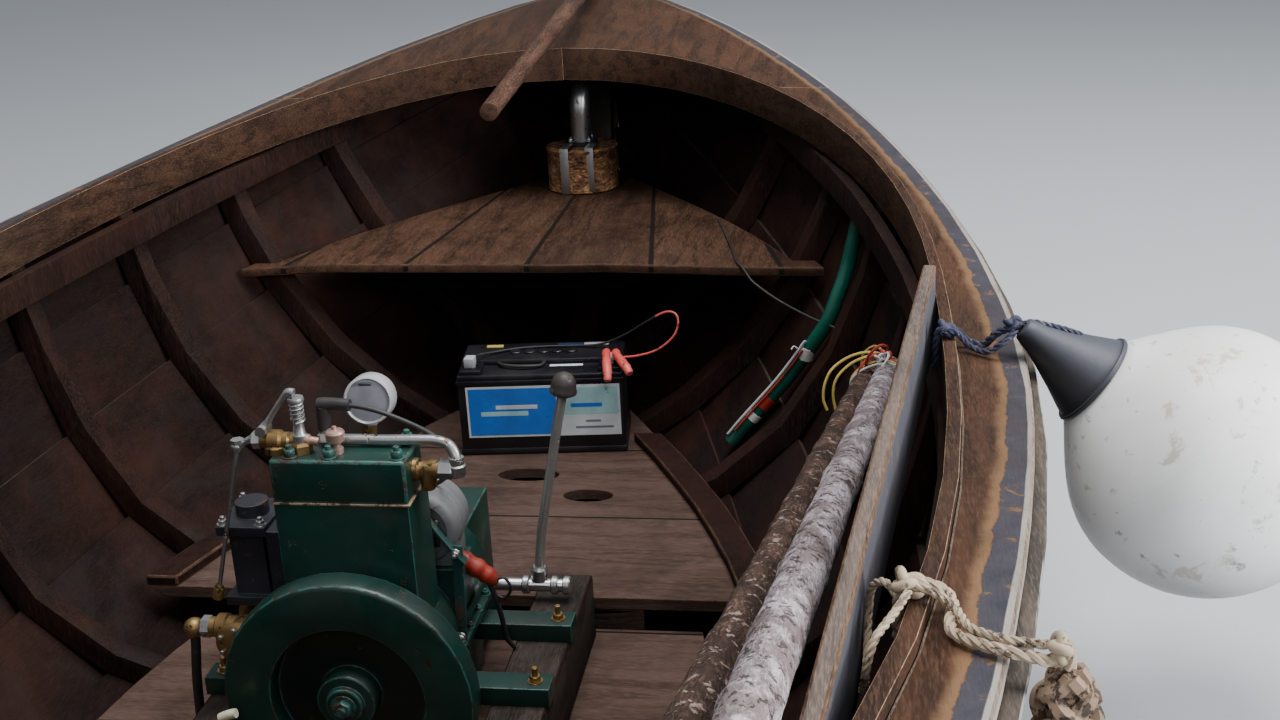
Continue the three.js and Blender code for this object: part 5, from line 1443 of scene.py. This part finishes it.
def rough_pole(name, ends, radii, finish, crook, seed, knots):
    """A crooked, knotted pole from one place to another."""
    start, end = ends
    line, sizes = [], []
    for i in range(POLE_STEPS + 1):
        t = i / POLE_STEPS
        sway = noise.noise_vector(Vector((t * 3.1, seed, 0))) * crook * math.sin(math.pi * t)
        line.append(start.lerp(end, t) + Vector((0, sway.y, sway.z)))
        swell = sum(height * math.exp(-((t - place) / .0065) ** 2) for place, height in knots)
        sizes.append((radii[0] + (radii[1] - radii[0]) * t) / radii[0]
                     * (1 + .060 * noise.noise(Vector((t * 26, seed, 5))) + swell))
    pole = sweep(name, line, radii[0], 6, radii=sizes, finish=finish)
    for vertex in pole.data.vertices:
        grain = noise.noise(Vector((vertex.co.x * 26, vertex.co.y * 150, vertex.co.z * 150 + seed)))
        vertex.co += vertex.normal * (grain * .0018 - .0006)
    select_only(pole)
    bpy.ops.object.shade_smooth_by_angle(angle=math.radians(48))
    return pole


noise.seed_set(WANDER_SEED)
brown_pole = rough_pole("bark_pole", BROWN_POLE, (.018, .022), bark_brown, .006, 3,
                        [(.16, .07), (.31, .10), (.43, .06), (.58, .09), (.72, .07), (.88, .08)])
belongs(brown_pole, "root", ["pole_brown"])
grey_pole = rough_pole("grey_pole", GREY_POLE, (.021, .024), bark_grey, .005, 8,
                       [(.12, .06), (.25, .11), (.36, .07), (.52, .09), (.66, .06), (.81, .10)])
belongs(grey_pole, "root", ["pole_grey"])
print("poles:", len(brown_pole.data.polygons) + len(grey_pole.data.polygons), "faces")

# %% [markdown]
# A tangle of red and yellow cord ties the poles together near their after ends. Each turn is an oval round
# both poles, a little askew, and a few short ends and a loop hang from the knot.

# %% Lashing
cord_red = coated("cord_red", (.36, .022, .018), (.50, .050, .035), (.14, .02, .02), rough=(.6, .8),
    chip_amount=.3)
cord_yellow = coated("cord_yellow", (.58, .42, .075), (.70, .56, .16), (.30, .20, .05), rough=(.6, .8))
cord_white = coated("cord_white", (.60, .60, .58), (.74, .73, .70), (.30, .27, .24), rough=(.6, .8))
LASH_X, TURN_STEPS = -.762, 36


def pole_place(ends, x):
    start, end = ends
    return start.lerp(end, (x - start.x) / (end.x - start.x))


def turn_round_poles(name, shift, slack, radius, finish, lean):
    """One turn of cord round both poles."""
    low, high = pole_place(BROWN_POLE, LASH_X + shift), pole_place(GREY_POLE, LASH_X + shift)
    middle, reach = (low + high) / 2, (high - low) / 2
    side = Vector((0, -reach.z, reach.y)).normalized() * (.0225 + slack)
    out = reach.normalized() * (reach.length + .021 + slack)
    line = [middle + out * math.cos(a) + side * math.sin(a) + Vector((lean * math.sin(a), 0, 0))
            for a in (math.tau * i / TURN_STEPS for i in range(TURN_STEPS))]
    return sweep(name, line, radius, 1, closed=True, finish=finish)


crown = pole_place(GREY_POLE, LASH_X) + at(0, -6, 26)
lashing = [
    turn_round_poles("turn_red_1", 0, .0018, .0026, cord_red, .004),
    turn_round_poles("turn_red_2", .006, .0024, .0026, cord_red, -.003),
    turn_round_poles("turn_red_3", .013, .0018, .0026, cord_red, .005),
    turn_round_poles("turn_yellow_1", -.012, .0016, .0022, cord_yellow, .006),
    turn_round_poles("turn_yellow_2", .024, .0020, .0022, cord_yellow, -.006),
    turn_round_poles("turn_white", .032, .0014, .0020, cord_white, .003),
    knot("knot_red", crown + at(0, 0, 4), .0105, .0027, cord_red, (0, .3, 1)),
    knot("knot_white", crown + at(24, -8, 6), .0085, .0024, cord_white, (.3, 0, 1))]


def from_crown(name, shifts, radius, finish):
    """A cord end that leaves the knot's crown."""
    return swept(name, [crown + at(*shift) for shift in shifts], radius, finish, roundness=1)


lashing += [
    from_crown("hang_yellow", [(0, 0, 4), (-4, -30, 6), (0, -60, -2), (8, -86, -20), (16, -98, -44),
        (22, -100, -68), (26, -94, -86)], .0024, cord_yellow),
    from_crown("loop_yellow", [(0, 0, 2), (6, -28, 2), (10, -56, -10), (18, -78, -32), (24, -84, -58),
        (28, -80, -84)], .0024, cord_yellow),
    from_crown("loop_red", [(2, 0, 6), (18, 6, 22), (30, -8, 30), (34, -26, 14), (22, -30, -10),
        (10, -22, -14)], .0025, cord_red),
    from_crown("end_red", [(2, 0, 4), (14, -18, 8), (30, -38, -6), (40, -46, -30), (42, -48, -60)], .0025,
        cord_red),
    from_crown("end_white", [(24, -8, 8), (36, 4, 20), (52, 4, 16), (60, -6, 2)], .0022, cord_white),
    from_crown("end_yellow", [(-10, 0, 4), (-24, -16, 10), (-34, -34, -8), (-36, -38, -34)], .0021,
        cord_yellow)]
assembly("pole_lashing", lashing)
print("lashing of", len(lashing), "cords")

# %% [markdown]
# A plank stands on edge inside the coaming, grey paint on its flank and bare pale wood along its top. Over
# the side hang two fenders: a white inflated one with a dark cap, and a short one plaited from old rope.

# %% Plank and fenders
PLANK_TOP = .5455


def plank_finish():
    """Old blue-grey paint on the faces, worn to bare wood along the upper edge."""
    made, tree, where = new_material("plank_paint")
    wood = timber(tree, where, FORE_AFT, (.040, .026, .019), (.115, .078, .056), (.24, .175, .130), 6, .6,
        .15, .45)
    worn = blotches(tree, where, 34, .34, .03)["Mask"]
    level = plus(tree, parts_of(tree, where)["Z"], times(tree, worn, .010))
    edge = spread(tree, level, PLANK_TOP - .004, PLANK_TOP + .002, 0, .8)
    paint = mix(tree, blotches(tree, where, 9, .5, .2)["Cloud"], (.026, .027, .038, 1), (.062, .064, .085, 1))
    colour = mix(tree, times(tree, worn, .55), paint, wood["Color"])
    return finished(made, mix(tree, edge, colour, wood["Color"]), wood["Roughness"], wood["Height"], .0010)


def fender_finish():
    """White vinyl, smeared and spotted, with painted shade that darkens it towards the water, where more
    spots gather.
    """
    made, tree, where = new_material("fender_vinyl")
    broad = blotches(tree, where, 5.0, .50, .15)
    spots = blotches(tree, where, 58, .18, .02)["Mask"]
    stains = blotches(tree, where, 13, .24, .03)["Mask"]
    # darker towards the bottom: this mask carries painted shade on the lower flank, and it also gathers the
    # dark spots there
    low = spread(tree, plus(tree, parts_of(tree, where)["Z"], times(tree, broad["Cloud"], .16)), .44, .25)
    colour = mix(tree, broad["Mask"], (.90, .91, .92, 1), (.80, .80, .79, 1))
    colour = mix(tree, times(tree, stains, .55), colour, (.36, .29, .17, 1))
    # painted shade: the lower part is mixed towards grey-brown
    colour = mix(tree, times(tree, low, .85), colour, (.15, .138, .128, 1))
    colour = mix(tree, times(tree, spots, plus(tree, low, .18)), colour, (.035, .030, .028, 1))
    return finished(made, colour, spread(tree, broad["Cloud"], .3, .7, .28, .5),
        plus(tree, broad["Cloud"], spots), .0006)


def cap_finish():
    """Dark rubber, with a painted blue-grey highlight where it faces the sky."""
    made, tree, where = new_material("cap_rubber")
    up = parts_of(tree, node(tree, "ShaderNodeNewGeometry").outputs["Normal"])["Z"]
    # painted highlight: faces that look up are mixed towards blue-grey
    sky_highlight = times(tree, spread(tree, up, .05, .85), .55)
    cloud = blotches(tree, where, 16, .5, .2)["Cloud"]
    colour = mix(tree, sky_highlight, (.010, .010, .013, 1), mix(tree, cloud, (.060, .066, .090, 1),
        (.115, .125, .160, 1)))
    return finished(made, colour, .48, cloud, .0006)


plank_paint, fender_vinyl, cap_rubber = plank_finish(), fender_finish(), cap_finish()
plank_edge = plain_timber("plank_edge", FORE_AFT, (.032, .018, .011), (.098, .058, .036), (.22, .145, .100),
    grain=6, fibre=.6, bleach=.2, grime=.5)
dressed("plank_board", plank_paint, plank_edge, width=.003, segments=3)
FENDER_TIP = at(-228, 905, 526)
FENDER_AXIS = (at(-201, 1129, 360) - FENDER_TIP).normalized()
BULB_RADIUS, BULB_AT, BULB_STEPS = 172, 280.1, 18
flank = interpolate_bezier(Vector((60, 112.3)), Vector((118, 162.3)), Vector((BULB_RADIUS, 196.1)),
                           Vector((BULB_RADIUS, BULB_AT)), 20)
bulb = [(BULB_RADIUS * math.cos(a), BULB_AT + BULB_RADIUS * math.sin(a))
        for a in (math.pi / 2 * i / BULB_STEPS for i in range(1, BULB_STEPS))]
fender = turned("white_fender", [*[tuple(place)[:2] for place in flank], *bulb, (0, BULB_AT + BULB_RADIUS)],
    FENDER_TIP, FENDER_AXIS, fender_vinyl, 64, smooth=70)
belongs(fender, "root", ["fender"])
assembly("fender_cap_rubber", [
    turned("cap_collar", [(57.5, 106), (62, 106.5), (63.2, 109), (62, 112), (57.5, 112.4), (57.5, 106)],
        FENDER_TIP, FENDER_AXIS, cap_rubber, 40),
    turned("fender_cap_cone", [(0, 0), (12, .4), (15, 2), (18.5, 12), (21.5, 24), (30, 45), (42, 72),
        (54, 96), (60, 108.5), (60.5, 111), (58.5, 111.8), (0, 112)], FENDER_TIP, FENDER_AXIS, cap_rubber,
        40, smooth=50)], ["fender_cap"])
print("fender:", len(fender.data.polygons), "faces")

# %% [markdown]
# Rope is three strands laid round each other. The navy rope comes over the coaming to the white fender's
# cap, the old beige one over the coaming and the rail to the plaited fender. Both start from a knot inside
# the coaming.

# %% Ropes
navy_fibre = coated("navy_fibre", (.014, .017, .045), (.030, .035, .080), (.10, .10, .13), rough=(.6, .85),
    chip_scale=90, chip_amount=.35, grime=.3)
beige_fibre = coated("beige_fibre", (.36, .275, .185), (.50, .40, .29), (.15, .11, .075), rough=(.7, .9),
    chip_scale=80, chip_amount=.30, grime=.45)
old_fibre = coated("old_fibre", (.20, .125, .080), (.31, .215, .145), (.055, .035, .025), rough=(.75, .95),
    chip_scale=70, chip_amount=.40, grime=.55)

NAVY_ROUTE = [at(-262, 800.6, 461.5), at(-262, 800.6, 493.5), at(-262, 806.6, 511.5), at(-262, 825.6, 510.5),
    at(-262, 839.6, 496.7), at(-254, 860, 494.2), at(-242, 876, 514), at(-230.3, 901.6, 528.3)]
BEIGE_ROUTE = [at(462, 734.7, 488), at(462, 734.7, 520), at(462, 744.3, 538), at(462, 763.3, 537),
    at(462, 779.3, 523.2), at(511, 776.8, 522.1), at(540, 810.8, 524), at(545, 830.8, 523),
    at(545, 850.8, 519), at(545, 861.8, 534), at(545, 864.8, 522), at(545, 864.8, 512.3)]
assembly("navy_ropes", [
    laid_rope("navy_second", [at(-252, 806, 513), at(-250, 826, 511), at(-238, 842, 498), at(-222, 862, 496),
        at(-214, 880, 510), at(-221, 896, 524)], .0045, navy_fibre),
    laid_rope("cap_strand", [at(-230, 902, 529), at(-229, 916, 533), at(-226, 936, 530), at(-223, 958, 525),
        at(-221, 976, 519)], .0040, navy_fibre),
    knot("navy_knot", at(-258, 812, 514), .0110, .0045, navy_fibre, (0, .4, 1)),
    knot("navy_knot_2", at(-236, 894, 528), .0095, .0042, navy_fibre, (.4, 0, 1)),
    laid_rope("navy_rope", NAVY_ROUTE, .0052, navy_fibre)], ["fender_rope"])

assembly("beige_ropes", [
    laid_rope("hanging_loop", [at(462, 736, 522), at(446, 724, 530), at(434, 713, 518), at(436, 710, 492),
        at(460, 709, 470), at(496, 707, 464), at(528, 705, 474), at(541, 707, 500), at(534, 714, 526),
        at(508, 730, 536), at(480, 742, 540)], .0038, beige_fibre),
    laid_rope("beige_second", [at(470, 742, 541), at(478, 762, 540), at(484, 780, 528), at(512, 790, 527),
        at(532, 812, 530), at(538, 832, 530), at(540, 848, 530)], .0042, beige_fibre),
    knot("beige_knot", at(464, 742, 540), .0125, .0046, beige_fibre, (0, .4, 1)),
    knot("beige_knot_2", at(543, 858, 529), .0105, .0044, beige_fibre, (0, 1, .6)),
    laid_rope("beige_rope", BEIGE_ROUTE, .0054, beige_fibre)], ["rope_fender_rope"])

# %% Plaited fender
PLAIT_AXIS, PLAIT_TOP, PLAIT_LONG = at(545, 864.8, 0), .508, .2813
PLAIT_RADIUS, PLAIT_WAVE, PLAIT_TURNS, PLAIT_STEPS = .0205, .0026, 3.25, 130


def plait_strand(name, phase, hand):
    """One strand that winds up the fender and dips under each strand of the other hand."""
    line, sizes = [], []
    for i in range(PLAIT_STEPS + 1):
        t = i / PLAIT_STEPS
        a = hand * math.tau * PLAIT_TURNS * t + phase
        taper = min(1, .45 + math.sin(math.pi * t) * 1.9)
        radius = (PLAIT_RADIUS + PLAIT_WAVE * math.cos(3 * a * hand + (0 if hand > 0 else math.pi))) * taper
        line.append(PLAIT_AXIS + Vector((math.cos(a) * radius, math.sin(a) * radius,
                                         PLAIT_TOP - PLAIT_LONG * t)))
        sizes.append(.8 + .2 * taper)
    return sweep(name, line, .0078, 1, radii=sizes, finish=old_fibre)


plait = [plait_strand(f"plait_{hand}_{k}", math.tau * k / 3, hand) for hand in (1, -1) for k in range(3)]
tails = [swept(f"tail_{k}", [PLAIT_AXIS + at(math.cos(a) * out, math.sin(a) * out, z)
    for out, z in ((6, 236), (14, 222), (15, 222.5))], .0042, old_fibre)
    for k, a in enumerate((.3, 1.6, 2.8, 4.1, 5.2))]
assembly("plaited_fender", [
    turned("plait_core", [(0, 0), (10, 2), (18, 20), (19.5, 60), (19.5, 235), (15, 270), (6, 282), (0, 284)],
        PLAIT_AXIS + at(0, 0, 226), UP, old_fibre, 20),
    *tails,
    *plait], ["rope_fender"])
print("plaited fender of", len(plait), "strands")

# %% [markdown]
# A green hose comes down the port quarter between a frame and the planking, taped and tied where wires join
# it.

# %% Hose
hose_green = coated("hose_green", (.003, .070, .046), (.006, .115, .080), (.05, .10, .07), rough=(.14, .34),
    chip_amount=.12, grime=.3)
HOSE_ROUTE = [at(-1272, 705, 445), at(-1268, 706, 425), at(-1266, 702, 385), at(-1262, 691, 336),
    at(-1256, 680, 288), at(-1246, 663, 240), at(-1238, 643, 189), at(-1242, 612, 138), at(-1250, 577, 84),
    at(-1254, 540, 35), at(-1254, 503, -8), at(-1250, 470, -46), at(-1246, 444, -78)]
hose_line = smooth_line(HOSE_ROUTE)


def along_hose(first, last, shift):
    """A line beside the hose, from one of its stations to another."""
    return [hose_line[i] + Vector(shift) for i in range(first, last + 1, 4)]


hose_parts = [
    swept("tie_white", [hose_line[43] + at(0, -2, 3), hose_line[44], hose_line[45] + at(0, 2, -3)], .0166,
        cord_white, roundness=4),
    swept("tape_red", [hose_line[56], hose_line[58], hose_line[59]], .0162, red_tape, roundness=4),
    swept("tape_white", [hose_line[61], hose_line[62], hose_line[63]], .0164, cord_white, roundness=4),
    swept("wire_white", along_hose(42, 70, (.004, -.0150, .008)), .0024, cord_white),
    swept("wire_grey", along_hose(42, 70, (.010, -.0130, .011)), .0024, clamp_grey),
    swept("wire_red", along_hose(44, 70, (.0150, -.0070, .010)), .0022, red_tape),
    swept("tie_end", [hose_line[44] + at(4, -14, 6), hose_line[44] + at(10, -24, 16),
        hose_line[44] + at(16, -30, 12)], .0016, cord_white)]
assembly("hose_and_wires", [
    *hose_parts,
    swept("hose", HOSE_ROUTE, .0150, hose_green, roundness=4)], ["green_hose"])
print("hose of", len(HOSE_ROUTE), "places with", len(hose_parts), "ties and wires")

# %% [markdown]
# Where the lowest strakes land on the deadwood, daylight would show through the hairline. On a real boat
# the seam is payed with pitch, so a bead of it runs along the seam on each side.

# %% Pitch in the seams
pitch = plain("pitch", (.0035, .0028, .0024))
DEADWOOD_HALF = 36.2
GARBOARD_SEAM = [(-2325, -10), (-2262, -44), (-2226, -61.5), (-2188, -77.5), (-2149, -93), (-2111, -108),
    (-2070, -121.5), (-2010, -140)]
beads = [swept(f"pitch_{name}", [at(x, side * DEADWOOD_HALF, z) for x, z in GARBOARD_SEAM], .0030, pitch)
    for name, side in (("port", 1), ("starboard", -1))]
assembly("garboard_pitch", beads)

# %% [markdown]
# The last pieces are the rudder with its straps, the tiller, and under water the shaft and the propeller.

# %% Rudder and propeller
RUDDER_SKIN = .0185
rudder = dressed("rudder", tarred, worn_wood, width=.004)
rudder.data.materials.append(dark_iron)
for face in rudder.data.polygons:
    if abs(face.center.y) > RUDDER_SKIN:
        face.material_index = THIRD_FINISH
for name in ("gudgeon_lower", "gudgeon_upper"):
    dressed(name, dark_iron, iron_edge, width=.0015)
dressed("tiller", worn_wood, width=.001, smooth=50)
dressed("propeller", bronze, width=.0015, smooth=40)
dressed("propeller_shaft", worn_steel, width=.001)
dressed("stern_tube", bronze, width=.002)
